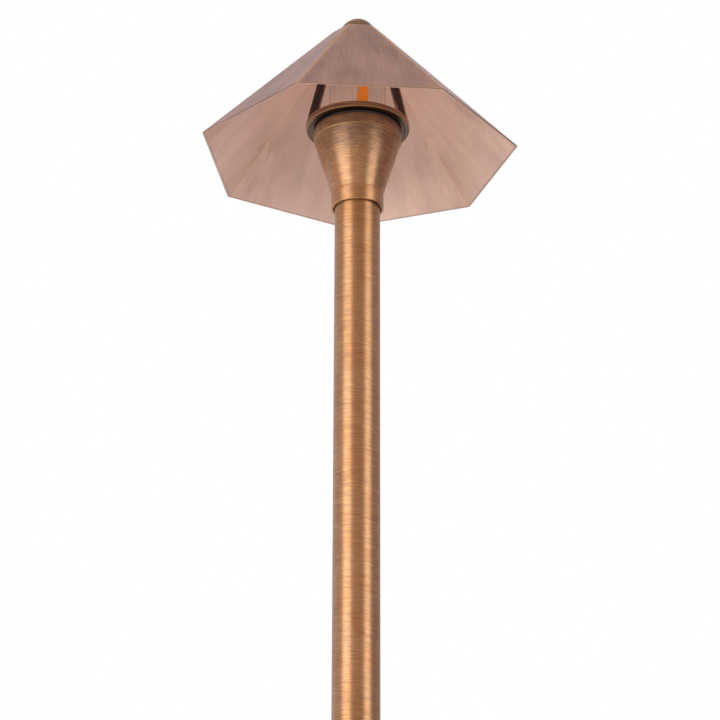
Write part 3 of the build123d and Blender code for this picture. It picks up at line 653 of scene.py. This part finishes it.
def clear_glass(name, tint, edge_tint, body, rim, inner=0.0):
    """Clear moulded glass with a very slight ripple, painted in the edge's tint along its outline, a painted
    line for light bent at its edge.

    The shares of it that bend and mirror the light are body where it faces the eye and rim along its outline.
    Within the inner radius, the outline shows a quarter as much. Its shadow is a tenth as strong.
    """
    material, tree, shader = start_material(name)
    place = object_place(tree)
    facing = add(tree, "ShaderNodeLayerWeight", {"Blend": 0.5}).outputs["Facing"]
    radius = vector_calc(tree, "LENGTH", stretched(tree, place, 1.0, 1.0, 0.0))
    outline = times(tree, spread(tree, facing, 0.66, 0.88, 0.0, rim - body),
                    spread(tree, radius, inner, inner + 0.2 * MM, 0.25, 1.0))
    in_shadow = add(tree, "ShaderNodeLightPath").outputs["Is Shadow Ray"]
    lets_by = calc(tree, "SUBTRACT", 1.0, times(tree, in_shadow, 0.9))
    fill(tree, shader, {
        "Base Color": mix_colours(tree, spread(tree, facing, 0.66, 0.84), tint, edge_tint),
        "Alpha": times(tree, plus(tree, outline, body), lets_by),
        "Roughness": 0.0, "IOR": 1.47, "Transmission Weight": 1.0,
        "Normal": bump(tree, noise(tree, place, 25.0, 1.0, 0.5), 0.05 * MM, 0.15),
    })
    return material


def grained(name, base, second, scale, roughness, depth, metallic=0.0, subsurface=0.0, painted_glow=0.0, sheen=0.5):
    """A moulded, cast or fired surface: two close colours in fine grain, with the grain's own relief.

    The sheen is how strongly a surface that isn't metal mirrors, 0.5 being usual.
    """
    material, tree, shader = start_material(name)
    place = object_place(tree)
    grain = noise(tree, place, scale, 4.0, 0.6)
    mood = balance(tree, grain, noise(tree, place, scale / 12, 2.0, 0.5), 0.6)
    fill(tree, shader, {
        "Base Color": mix_colours(tree, spread(tree, mood, 0.35, 0.65), base, second), "Metallic": metallic,
        "Roughness": spread(tree, grain, 0.3, 0.7, roughness - 0.05, roughness + 0.08),
        "Normal": bump(tree, grain, depth, 0.6), "Specular IOR Level": sheen,
    })
    if subsurface:
        fill(tree, shader, {"Subsurface Weight": subsurface, "Subsurface Scale": 0.6 * MM})
    # Painted light: a glow on a surface that gives no light of its own
    if painted_glow:
        fill(tree, shader, {"Emission Color": (*base, 1.0), "Emission Strength": painted_glow})
    return material


def dress(name, material):
    """Gives a CAD node that is shown as it is its material."""
    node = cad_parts[name]
    node.data.materials.clear()
    node.data.materials.append(material)


def place_piece(piece, body, slot, material, *replaced):
    """Gives a new piece its material and the body it rides on, and hides the nodes it stands for; its slot is
    not used.
    """
    piece.data.materials.append(material)
    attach(piece, body)
    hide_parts(*replaced)


# Operators, one for each piece or group of like pieces


class PATHLIGHT_OT_stage(bpy.types.Operator):
    """Make the pale floor, the soft studio light and the camera"""

    bl_idname = "pathlight.stage"
    bl_label = "Stage"
    bl_options = {"REGISTER", "UNDO"}

    def execute(self, context):
        studio = context.scene.path_light.studio
        self.camera(studio)
        self.floor(studio)
        self.world()
        self.softboxes(studio)
        bpy.context.scene.view_settings.view_transform = "Standard"
        return {"FINISHED"}

    def camera(self, studio):
        """Looks along (sin pan cos tilt, cos pan cos tilt, sin tilt), then turns by roll."""
        camera = bpy.data.cameras.new("Camera")
        camera.lens = studio.lens
        camera.clip_start = 0.01
        view = bpy.data.objects.new("Camera", camera)
        bpy.context.scene.collection.objects.link(view)
        pan, tilt, roll = studio.pan, studio.tilt, studio.roll
        forward = Vector((sin(pan) * cos(tilt), cos(pan) * cos(tilt), sin(tilt)))
        right = Vector((cos(pan), -sin(pan), 0))
        up = right.cross(forward)
        rolled_right = right * cos(roll) + up * sin(roll)
        rolled_up = up * cos(roll) - right * sin(roll)
        axes = Matrix((rolled_right, rolled_up, -forward)).transposed().to_4x4()
        view.matrix_world = Matrix.Translation(studio.stand) @ axes
        bpy.context.scene.camera = view

    def floor(self, studio):
        across = 3.0
        corners = np.array([(-across, -across, studio.floor), (across, -across, studio.floor),
                            (across, across, studio.floor), (-across, across, studio.floor)])
        floor = new_piece("floor", corners, np.array([[0, 1, 2, 3]]))
        material, tree, shader = start_material("Pale floor")
        cloud = noise(tree, object_place(tree), 3.0)
        pale = mix_colours(tree, cloud, (0.80, 0.80, 0.79), (0.84, 0.84, 0.83))
        fill(tree, shader, {"Base Color": pale, "Roughness": 0.7})
        floor.data.materials.append(material)
        floor.visible_glossy = False

    def world(self):
        """White behind the object, and round it a room that is warm in front, paler overhead and dim low
        down on the right. Below the horizon it stands for the floor, which isn't mirrored itself."""
        front, behind = (0.56, 0.395, 0.26), (0.72, 0.68, 0.78)
        on_right, overhead = (0.22, 0.17, 0.16), (0.68, 0.58, 0.57)
        floor_left, floor_right = (0.66, 0.60, 0.56), (0.10, 0.08, 0.08)
        world = bpy.data.worlds.new("Studio")
        world.use_nodes = True
        tree = world.node_tree
        heading = add(tree, "ShaderNodeTexCoord").outputs["Generated"]
        side, depth, height = xyz(tree, heading)
        room = mix_colours(tree, spread(tree, depth, -1.0, 0.4), front, behind)
        dim = times(tree, spread(tree, side, 0.2, 0.8, 0.0, 0.7), spread(tree, height, 0.5, 0.25))
        room = mix_colours(tree, dim, room, on_right)
        ground = mix_colours(tree, spread(tree, side, 0.0, 0.8), floor_left, floor_right)
        room = mix_colours(tree, spread(tree, height, 0.04, -0.12), room, ground)
        room = mix_colours(tree, spread(tree, height, 0.35, 0.95), room, overhead)
        seen = add(tree, "ShaderNodeLightPath").outputs["Is Camera Ray"]
        fill(tree, tree.nodes["Background"], {"Color": mix_colours(tree, seen, room, (1.0, 1.0, 1.0))})
        bpy.context.scene.world = world

    def softboxes(self, studio):
        """Two tall softboxes, left and right of the camera, whose tops lean away from it, and a low one that
        fills the shade from below.

        The low one lights only what is matt, as light from a pale floor does.
        """
        aim, away, rise = Vector((0.0, 0.0, 0.42)), 2.1, radians(4)
        tall = (
            ("softbox left", radians(-46), radians(8), (1.45, 1.7), studio.key),
            ("softbox right", radians(54), radians(-17), (1.05, 1.7), studio.second),
        )
        for name, swing, lean, size, power in tall:
            heading = Vector((cos(rise) * sin(swing), -cos(rise) * cos(swing), sin(rise)))
            self.softbox(name, aim + away * heading, -heading, lean, size, power, (1.0, 0.98, 0.96))
        low_box = self.softbox("softbox low", (0.15, 0.0, -0.18), Vector((0.0, 0.0, 1.0)), 0.0, (2.4, 2.4),
                               studio.fill, (1.0, 0.95, 0.93))
        low_box.visible_glossy = False

    def softbox(self, name, place, heading, lean, size, power, tint):
        """An area light at a place, which looks along a heading and is turned about it by lean."""
        light = bpy.data.lights.new(name, "AREA")
        light.shape = "RECTANGLE"
        light.size, light.size_y = size
        light.energy, light.color = power, tint
        box = bpy.data.objects.new(name, light)
        bpy.context.scene.collection.objects.link(box)
        box.location = place
        box.rotation_euler = (heading.to_track_quat("-Z", "Y") @ Quaternion((0.0, 0.0, 1.0), lean)).to_euler()
        box.visible_camera = False
        return box


class PATHLIGHT_OT_shade(bpy.types.Operator):
    """Make the folded sheet shade"""

    bl_idname = "pathlight.shade"
    bl_label = "Shade"
    bl_options = {"REGISTER", "UNDO"}

    def execute(self, context):
        path_light = context.scene.path_light
        sizes, finishes = path_light.shade, path_light.finishes
        h = pi / sizes.sides
        rim, top = low("shade").z, high("shade").z
        under = top - sizes.sheet
        outer = sizes.corner * cos(h)
        rise = sizes.apex / outer
        sheet_across = sizes.sheet * (1 + rise**2) ** 0.5 / rise
        outer_top = outer - (top - rim) / rise
        inner_top = outer - (under - rim) / rise - sheet_across
        corners = [
            (outer, rim, 0.3 * MM, 8 * MM), (outer_top, top, 0.7 * MM), (sizes.hole, top, 0.15 * MM),
            (sizes.hole, under, 0.15 * MM), (inner_top, under, 0.4 * MM, 8 * MM),
            (outer - sheet_across, rim, 0.3 * MM),
        ]
        profile, rub = rounded_outline(corners)
        inside = np.arange(len(profile)) >= np.argmin(profile[:, 0])
        fold = np.where(inside, sizes.inner_fold, sizes.fold)
        round_off = np.clip((outer_top - profile[:, 0]) / (outer_top - sizes.hole), 0, 1)
        folds = np.minimum(fold + (profile[:, 0] - fold) * round_off, profile[:, 0])
        cut = (profile[:, 1] < rim + 0.2 * MM) & (profile[:, 0] < outer - 0.2 * MM)
        rub = np.where(cut, -0.6, rub)
        shade = folded_shell("shade_sheet", sizes.sides, sizes.turn, profile, folds, rub)
        outside = sheet_bronze("Brushed bronze sheet", finishes.sheet, finishes.patina, finishes.rubbed,
                               finishes.brushing, ridge_wear=0.55)
        # The lining is painted paler towards the top: painted light
        lining = sheet_bronze("Pale bronze sheet", finishes.sheet_inside, finishes.patina, finishes.rubbed,
                              0.6 * finishes.brushing, ridge_wear=0.25, gloss=0.5, blotches=0.26,
                              metal_share=0.45, marks=finishes.marks, fold_streaks=0.45, painted_light_up=1.0)
        place_piece(shade, "shade", "shade_bronze", outside, "shade")
        shade.data.materials.append(lining)
        self.line_inside(shade, len(profile), inside)
        return {"FINISHED"}

    def line_inside(self, shade, rows, inside):
        """Gives the faces whose row lies on the inside of the sheet the second material."""
        count = len(shade.data.polygons)
        columns = count // rows
        row = np.arange(count) // columns
        shade.data.polygons.foreach_set("material_index", inside[row].astype(int))


class PATHLIGHT_OT_finial(bpy.types.Operator):
    """Make the finial with its threaded stud"""

    bl_idname = "pathlight.finial"
    bl_label = "Finial"
    bl_options = {"REGISTER", "UNDO"}

    def execute(self, context):
        path_light = context.scene.path_light
        sizes, finishes = path_light.finial, path_light.finishes
        top, foot, seat = high("finial").z, low("finial").z, high("finial_washer").z
        centre = top - sizes.ball
        swing = np.linspace(0, acos((seat + 0.4 * MM - centre) / sizes.ball), 25)[1:]
        cap = [(sizes.ball * sin(a), centre + sizes.ball * cos(a), 0) for a in swing]
        finial = turned("finial_cap", [
            (0, top, 0), *cap, (cap[-1][0], seat, 0.2 * MM), (sizes.stud, seat, 0.15 * MM),
            (sizes.stud, foot, 0.4 * MM, sizes.pitch / 8), (0, foot, 0),
        ][::-1], columns=128, closed=False,
            relief=thread(sizes.stud, foot, seat - sizes.pitch, sizes.pitch, 0.35 * MM))
        # Painted reflection: below its top the cap is painted darker, for the shade's dark top that it
        # mirrors
        bronze = turned_bronze("Finial bronze", finishes.cage, finishes.patina, finishes.rubbed,
                               finishes.brushing, edge_wear=0.25, dark=-0.1, smear=0.3, coat=0.3,
                               painted_shade_band=(top - 1.2 * MM, top - 2.8 * MM, 0.7))
        place_piece(finial, "finial", "finial_bronze", bronze, "finial")
        return {"FINISHED"}


class PATHLIGHT_OT_cage(bpy.types.Operator):
    """Make the lens cage: its ring with the threaded skirt, its two arms and its hub"""

    bl_idname = "pathlight.cage"
    bl_label = "Lens cage"
    bl_options = {"REGISTER", "UNDO"}

    def execute(self, context):
        path_light = context.scene.path_light
        sizes, finishes = path_light.cage, path_light.finishes
        ring_radius, skirt_foot = reach("lens_cage"), low("lens_cage").z
        ring_foot = high("cage_gasket").z
        ring_top = ring_foot + sizes.ring
        lip = skirt_foot + sizes.lip
        ring = turned("lens_cage_ring", [
            (sizes.lens_hole, lip, 0.3 * MM), (sizes.skirt_bore, lip, 0.2 * MM),
            (sizes.skirt_bore, skirt_foot, 0.2 * MM), (sizes.skirt, skirt_foot, 0.3 * MM, sizes.pitch / 8),
            (sizes.skirt, ring_foot, 0.2 * MM), (ring_radius, ring_foot, 0.4 * MM),
            (ring_radius, ring_top, 0.4 * MM), (sizes.lens_hole, ring_top, 0.4 * MM),
        ], columns=192, relief=thread(sizes.skirt, skirt_foot, low("cage_gasket").z, sizes.pitch, 0.55 * MM))
        # Painted shade: the ring's underside is painted nearly black, for the shade under the ring
        dark = turned_bronze("Dark bronze", finishes.cage, finishes.blackened, finishes.rubbed,
                             finishes.brushing, gloss=0.36, edge_wear=0.65, smear=0.3, polish=0.1, coat=0.1,
                             painted_shade_band=(ring_foot + 0.12 * MM, ring_foot + 0.02 * MM, 0.9))
        place_piece(ring, "cage", "cage_bronze", dark, "lens_cage")
        hub_top = high("lens_cage").z
        hub_foot = hub_top - sizes.hub_height
        hub = turned("lens_cage_hub", [
            (sizes.hub_hole, hub_foot, 0.3 * MM), (sizes.hub, hub_foot, 0.5 * MM),
            (sizes.hub, hub_top, 0.4 * MM), (sizes.hub_hole, hub_top, 0.3 * MM),
        ], columns=96)
        place_piece(hub, "cage", "cage_bronze", dark, "lens_cage")
        path = self.arm_path(sizes, path_light.shade, ring_radius, ring_top, hub_top)
        arm_finish = self.arm_bronze(finishes)
        for side, name in ((1, "lens_cage_arm_right"), (-1, "lens_cage_arm_left")):
            arm = swept_bar(name, path * (side, 1), sizes.arm_width, sizes.arm, 0.7 * MM)
            place_piece(arm, "cage", "cage_bronze", arm_finish, "lens_cage")
        return {"FINISHED"}

    def arm_path(self, sizes, shade, ring_radius, ring_top, hub_top):
        """An arm's middle line: up from inside the ring, leaning in, then over a bend to the hub.

        Both straight runs lie half the arm's thickness inside its outer face. The shoulder's run is parallel
        to the shade's slope. The bend between them is an arc.
        """
        half = sizes.arm / 2
        slope = atan(shade.apex / (shade.corner * cos(pi / shade.sides)))
        leaning = np.array([-sin(sizes.lean), cos(sizes.lean)])
        shoulder = np.array([-cos(slope), sin(slope)])
        foot = np.array([ring_radius - sizes.inset - half / cos(sizes.lean), ring_top])
        hub_point = np.array([sizes.hub, hub_top - 0.4 * MM]) - half * np.array([sin(slope), cos(slope)])
        reach_up, _ = np.linalg.solve(np.stack([leaning, shoulder], axis=1), hub_point - foot)
        knee = foot + leaning * reach_up
        root = foot - (0, sizes.ring / 2)
        end = hub_point + shoulder * sizes.hub_reach
        line, _ = rounded_outline([(*root, 0), (*foot, sizes.foot_bend), (*knee, sizes.knee), (*end, 0)],
                                  closed=False, arc_points=10)
        return line

    def arm_bronze(self, finishes):
        """Cast bronze, nearly black with patina, and rubbed bare along its edges, with a painted highlight
        that makes the right arm's edges brighter.
        """
        material, tree, shader = start_material("Arm bronze")
        place = object_place(tree)
        along = noise(tree, stretched(tree, place, 900.0, 900.0, 60.0), 1.0, 3.0, 0.6)
        cloud = noise(tree, place, 75.0, 2.0, 0.5)
        tone = balance(tree, along, cloud, 0.5)
        metal = mix_colours(tree, spread(tree, tone, 0.5, 0.75, 0.0, 0.6), finishes.blackened,
                            finishes.patina)
        # Rubbed edges, and a painted highlight: the edges grow brighter towards the right arm, which catches
        # the light
        worn = times(tree, spread(tree, attribute(tree, "rub"), 0.2, 0.9, 0.0, 0.9),
                     spread(tree, cloud, 0.38, 0.6, 0.1, 1.0),
                     spread(tree, xyz(tree, place)["X"], -10 * MM, 10 * MM, 0.12, 1.0))
        fill(tree, shader, {
            "Base Color": mix_colours(tree, worn, metal, finishes.rubbed), "Metallic": 1.0,
            "Roughness": spread(tree, tone, 0.3, 0.7, 0.42, 0.3), "Normal": bump(tree, along, 0.05 * MM, 0.4),
        })
        return material


class PATHLIGHT_OT_lens(bpy.types.Operator):
    """Make the glass lens: tube, dome and foot flange"""

    bl_idname = "pathlight.lens"
    bl_label = "Lens"
    bl_options = {"REGISTER", "UNDO"}

    def execute(self, context):
        sizes = context.scene.path_light.lens
        foot, top, flange = low("lens_glass").z, high("lens_glass").z, reach("lens_glass")
        inner = sizes.radius - sizes.wall
        dome = top - sizes.radius
        flange_top = foot + sizes.flange
        lens = turned("lens_tube", [
            (0, top, 0), *dome_corners(sizes.radius, dome, 25), (sizes.radius, dome, 0, 6 * MM),
            (sizes.radius, flange_top, 0.5 * MM), (flange, flange_top, 0.4 * MM), (flange, foot, 0.4 * MM),
            (inner, foot, 0.3 * MM, 6 * MM), (inner, dome, 0), *dome_corners(inner, dome, 25)[::-1],
            (0, dome + inner, 0),
        ][::-1], columns=144, closed=False)
        # The lens's dark edge tint is a painted dark outline, for the light that its walls bend at their edge
        glass = clear_glass("Lens glass", (0.985, 0.99, 0.985), (0.16, 0.13, 0.12), body=0.025, rim=0.85,
                            inner=inner + 0.4 * MM)
        place_piece(lens, "cage", "clear_glass", glass, "lens_glass")
        seal = grained("Milky silicone", (0.62, 0.60, 0.55), (0.70, 0.68, 0.63), 900.0, 0.5, 0.02 * MM,
                       subsurface=0.3)
        dress("lens_seal_top", seal)
        dress("lens_seal_bottom", seal)
        return {"FINISHED"}


class PATHLIGHT_OT_lamp(bpy.types.Operator):
    """Make the lamp: its glass capsule, orange strip, board, foot and pins"""

    bl_idname = "pathlight.lamp"
    bl_label = "Lamp"
    bl_options = {"REGISTER", "UNDO"}

    def execute(self, context):
        path_light = context.scene.path_light
        foot, top = low("lamp_capsule").z, high("lamp_capsule").z
        axis = (low("lamp_capsule").x + high("lamp_capsule").x) / 2
        radius = reach("lamp_capsule")
        dome = top - radius
        # One surface stands for the thin wall: light passes only so many clear surfaces before it is lost
        capsule = turned("lamp_capsule_glass", [
            (0, top, 0), *dome_corners(radius, dome, 17), (radius, dome, 0, 5 * MM), (radius, foot, 0.3 * MM),
            (0, foot, 0),
        ][::-1], columns=72, closed=False, centre_x=axis)
        glass = clear_glass("Capsule glass", (0.99, 0.99, 0.985), (0.85, 0.8, 0.76), body=0.01, rim=0.06)
        place_piece(capsule, "lamp", "capsule_glass", glass, "lamp_capsule")
        phosphor = path_light.finishes.phosphor
        deeper = tuple(c * 0.8 for c in phosphor)
        # Painted light: the coating of the unlit lamp is given a slight glow, brightening it behind the glass
        coating = grained("Phosphor", phosphor, deeper, 1800.0, 0.55, 0.02 * MM, subsurface=0.2, painted_glow=0.21)
        self.strips(path_light.lamp, coating)
        ceramic = grained("White ceramic", (0.80, 0.79, 0.75), (0.72, 0.71, 0.67), 1400.0, 0.6, 0.01 * MM)
        dress("led_board", ceramic)
        dress("lamp_base", ceramic)
        pin_metal = grained("Pin metal", (0.72, 0.71, 0.69), (0.62, 0.61, 0.6), 900.0, 0.25, 0.01 * MM,
                            metallic=1.0)
        dress("lamp_pins", pin_metal)
        return {"FINISHED"}

    def strips(self, sizes, coating):
        """The coating on the board's faces, poured round its edges, with the upper left corner drawn in."""
        low_end, high_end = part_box("led_coating")
        left, right, foot, top = low_end.x, high_end.x, low_end.z, high_end.z
        outline, _ = rounded_outline([
            (left, foot, 0.5 * MM), (right, foot, 0.5 * MM), (right, top, 0.5 * MM),
            (left + sizes.cut, top, 0.5 * MM), (left, top - sizes.drop, 8.0 * MM),
        ])
        centre = outline.mean(0)
        # Rings from the board out to the rim of the face, then one inside it, each with its share of the
        # outline and its share of the way out
        shares, out = np.array([(1.0, 0.0), (1.0, 0.5), (0.99, 0.85), (0.96, 1.0), (0.5, 1.0)]).T[:, :, None]
        x, z = (c + shares * (outline[:, i] - c) for i, c in enumerate(centre))
        for name, face, back in (("led_coating_front", low_end.y, low("led_board").y),
                                 ("led_coating_back", high_end.y, high("led_board").y)):
            rings = np.stack([x, back + out * (face - back) + 0 * x, z], axis=-1)
            ends = [(centre[0], back, centre[1]), (centre[0], face, centre[1])]
            place_piece(capped_piece(name, rings, ends), "lamp", "phosphor_coating", coating, "led_coating")


class PATHLIGHT_OT_socket(bpy.types.Operator):
    """Finish the socket, its bracket, contacts and screws, the leads and their caps"""

    bl_idname = "pathlight.socket"
    bl_label = "Socket and leads"
    bl_options = {"REGISTER", "UNDO"}

    def execute(self, context):
        steel = grained("Stainless steel", (0.56, 0.55, 0.54), (0.46, 0.46, 0.46), 700.0, 0.34, 0.02 * MM,
                        metallic=1.0)
        for name in ("socket_screws", "bracket_screws", "socket_bracket"):
            dress(name, steel)
        dress("lamp_socket",
              grained("Socket ceramic", (0.74, 0.70, 0.62), (0.66, 0.62, 0.54), 1100.0, 0.65, 0.02 * MM))
        dress("socket_contacts",
              grained("Nickel", (0.66, 0.64, 0.60), (0.56, 0.54, 0.5), 900.0, 0.3, 0.01 * MM, metallic=1.0))
        dress("socket_leads",
              grained("Lead sleeve", (0.72, 0.70, 0.64), (0.66, 0.64, 0.58), 800.0, 0.5, 0.02 * MM))
        dress("splice_caps",
              grained("Black cap", (0.02, 0.02, 0.02), (0.03, 0.03, 0.03), 600.0, 0.35, 0.01 * MM))
        dress("wire_bushing",
              grained("Black nylon", (0.02, 0.02, 0.02), (0.035, 0.035, 0.035), 700.0, 0.5, 0.02 * MM))
        return {"FINISHED"}


class PATHLIGHT_OT_housing(bpy.types.Operator):
    """Make the turned lamp housing with its two bosses"""

    bl_idname = "pathlight.housing"
    bl_label = "Lamp housing"
    bl_options = {"REGISTER", "UNDO"}

    def execute(self, context):
        path_light = context.scene.path_light
        sizes, finishes = path_light.housing, path_light.finishes
        lip, top, band = low("lamp_housing").z, high("lamp_housing").z, reach("lamp_housing")
        cone_foot = lip + sizes.collar_height
        cone_top = top - sizes.band_height
        web_foot = lip + sizes.collar_depth
        web_top = web_foot + sizes.web
        ledge = top - sizes.ledge_depth
        line = cone_foot - sizes.line_drop
        spread_out = (band - sizes.band_step - sizes.collar) / (cone_top - cone_foot)
        straight = cone_foot + (sizes.lens_hole + sizes.wall - sizes.collar) / spread_out
        web_wall = sizes.collar + (web_top - cone_foot) * spread_out - sizes.wall
        mouth_top = lip + sizes.mouth_depth
        groove, bevel = 0.3 * MM, 0.35 * MM
        housing = turned("lamp_housing_shell", [
            (sizes.socket, mouth_top, 0.1 * MM), (sizes.mouth, mouth_top, 0.1 * MM),
            (sizes.mouth, lip, 0.1 * MM), (sizes.collar - bevel, lip, 0.15 * MM),
            (sizes.collar, lip + bevel, 0.15 * MM), (sizes.collar, line - groove, 0.05 * MM),
            (sizes.collar - 0.2 * MM, line, 0.05 * MM), (sizes.collar, line + groove, 0.05 * MM),
            (sizes.collar, cone_foot, 6.0 * MM, 4 * MM), (band - sizes.band_step, cone_top, 0.15 * MM),
            (band, cone_top + sizes.band_step, 0.45 * MM), (band, top, 0.5 * MM),
            (sizes.cage_bore, top, 0.3 * MM), (sizes.cage_bore, ledge, 0.1 * MM),
            (sizes.lens_hole, ledge, 0.3 * MM),
            (sizes.lens_hole, straight, 1.0 * MM), (web_wall, web_top, 0.5 * MM),
            (sizes.nipple_hole, web_top, 0.3 * MM), (sizes.nipple_hole, web_foot, 0.3 * MM),
            (sizes.socket, web_foot, 0.1 * MM),
        ], columns=192)
        # Painted shade: the cone is painted darker towards its top, where the shade's rim shadows it, and
        # darker on its right side
        bronze = turned_bronze("Housing bronze", finishes.turned, finishes.patina, finishes.rubbed,
                               finishes.brushing, gloss=0.45, dark=-0.14, edge_wear=0.9, strokes=3.0,
                               hollow=0.25, mottle=0.3, coat=1.0,
                               painted_shade_band=(cone_foot + 0.3 * (cone_top - cone_foot), cone_top, 0.45))
        place_piece(housing, "pole", "housing_bronze", bronze, "lamp_housing")
        screws_low, screws_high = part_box("bracket_screws")
        boss_at = (screws_high.x - screws_low.x) / 2 - sizes.screw_head
        boss_foot, boss_top = web_top - sizes.boss_root, low("socket_bracket").z
        for side, name in ((1, "housing_boss_right"), (-1, "housing_boss_left")):
            boss = turned(name, [(0, boss_foot, 0), (sizes.boss, boss_foot, 0.2 * MM),
                                 (sizes.boss, boss_top, 0.3 * MM), (0, boss_top, 0)],
                          columns=48, closed=False, centre_x=side * boss_at)
            place_piece(boss, "pole", "housing_bronze", bronze, "lamp_housing")
        return {"FINISHED"}


class PATHLIGHT_OT_stem(bpy.types.Operator):
    """Make the stem and its two threaded plugs"""

    bl_idname = "pathlight.stem"
    bl_label = "Stem"
    bl_options = {"REGISTER", "UNDO"}

    def execute(self, context):
        path_light = context.scene.path_light
        sizes, finishes = path_light.stem, path_light.finishes
        edge, bore, wire, pipe, pitch = sizes.cut_edge, sizes.bore, sizes.wire_hole, sizes.pipe, sizes.pitch
        bottom, top, radius = low("stem").z, high("stem").z, reach("stem")
        stem = turned("stem_tube", [(bore, bottom, edge, 40 * MM), (radius, bottom, edge, 40 * MM),
                                    (radius, top, edge), (bore, top, edge, 40 * MM)])
        bronze = turned_bronze("Stem bronze", finishes.turned, finishes.patina, finishes.rubbed,
                               finishes.brushing, strokes=1.6)
        place_piece(stem, "pole", "stem_bronze", bronze, "stem")
        plug_radius = bore - sizes.plug_gap
        foot_low, foot_high = low("stem_foot").z, high("stem_foot").z
        washer_top = high("stake_washer").z
        foot = turned("stem_foot_plug", [
            (wire, foot_low, edge), (pipe, foot_low, 2 * edge, pitch / 8), (pipe, washer_top, 0.1 * MM),
            (radius, washer_top, 0.4 * MM), (radius, bottom, 0.1 * MM), (plug_radius, bottom, 0.05 * MM),
            (plug_radius, foot_high, 0.5 * MM), (wire, foot_high, edge),
        ], columns=128, relief=thread(pipe, foot_low, washer_top - pitch, pitch, 0.8 * MM))
        place_piece(foot, "pole", "foot_bronze", bronze, "stem_foot")
        plug_low, plug_high = low("stem_plug").z, high("stem_plug").z
        plug = turned("stem_top_plug", [
            (wire, plug_low, edge), (plug_radius, plug_low, 0.5 * MM), (plug_radius, top, 0.1 * MM),
            (pipe, top, 0.1 * MM, pitch / 8), (pipe, plug_high, 2 * edge), (wire, plug_high, edge),
        ], columns=128, relief=thread(pipe, top, plug_high, pitch, 0.8 * MM))
        brass = turned_bronze("Bare brass", (0.80, 0.58, 0.28), (0.45, 0.28, 0.1), (0.95, 0.74, 0.42),
                              finishes.brushing, gloss=0.4, edge_wear=0.4)
        place_piece(plug, "pole", "bare_brass", brass, "stem_plug")
        return {"FINISHED"}


class PATHLIGHT_OT_rubber(bpy.types.Operator):
    """Finish the rubber washers, pads and gaskets"""

    bl_idname = "pathlight.rubber"
    bl_label = "Rubber pieces"
    bl_options = {"REGISTER", "UNDO"}

    def execute(self, context):
        rubber = grained("Black rubber", (0.048, 0.040, 0.037), (0.064, 0.055, 0.051), 900.0, 0.75, 0.03 * MM,
                         sheen=0.15)
        washers = ("finial_washer", "stake_washer", "shade_pad")
        for name in (*washers, "cage_gasket", "stem_seal", "cable_grommet"):
            dress(name, rubber)
        return {"FINISHED"}


class PATHLIGHT_OT_stake(bpy.types.Operator):
    """Finish the moulded ground stake"""

    bl_idname = "pathlight.stake"
    bl_label = "Ground stake"
    bl_options = {"REGISTER", "UNDO"}

    def execute(self, context):
        plastic = grained("Stake plastic", (0.018, 0.018, 0.018), (0.03, 0.03, 0.03), 1500.0, 0.5, 0.05 * MM)
        dress("ground_stake", plastic)
        return {"FINISHED"}


class PATHLIGHT_PT_sidebar(bpy.types.Panel):
    """The path light's pieces and sizes"""

    bl_label = "Path Light"
    bl_idname = "PATHLIGHT_PT_sidebar"
    bl_space_type = "VIEW_3D"
    bl_region_type = "UI"
    bl_category = "Path Light"

    def draw(self, context):
        layout = self.layout
        for operator in OPERATORS:
            layout.operator(operator.bl_idname)
        path_light = context.scene.path_light
        for part in path_light.__annotations__:
            group = getattr(path_light, part)
            box = layout.box()
            box.label(text=part.capitalize())
            for key in group.__annotations__:
                box.prop(group, key)


OPERATORS = (
    PATHLIGHT_OT_stage, PATHLIGHT_OT_shade, PATHLIGHT_OT_finial, PATHLIGHT_OT_cage, PATHLIGHT_OT_lens,
    PATHLIGHT_OT_lamp, PATHLIGHT_OT_socket, PATHLIGHT_OT_housing, PATHLIGHT_OT_stem, PATHLIGHT_OT_rubber,
    PATHLIGHT_OT_stake,
)
GROUPS = (ShadeSizes, HousingSizes, CageSizes, LensSizes, LampSizes, StemSizes, FinialSizes, Finishes, Studio,
          PathLightSettings)


def register():
    for cls in (*GROUPS, *OPERATORS, PATHLIGHT_PT_sidebar):
        bpy.utils.register_class(cls)
    bpy.types.Scene.path_light = PointerProperty(type=PathLightSettings)


def unregister():
    del bpy.types.Scene.path_light
    for cls in reversed((*GROUPS, *OPERATORS, PATHLIGHT_PT_sidebar)):
        bpy.utils.unregister_class(cls)


def main():
    register()
    for operator in OPERATORS:
        group, name = operator.bl_idname.split(".")
        getattr(getattr(bpy.ops, group), name)()


if __name__ == "__main__":
    main()
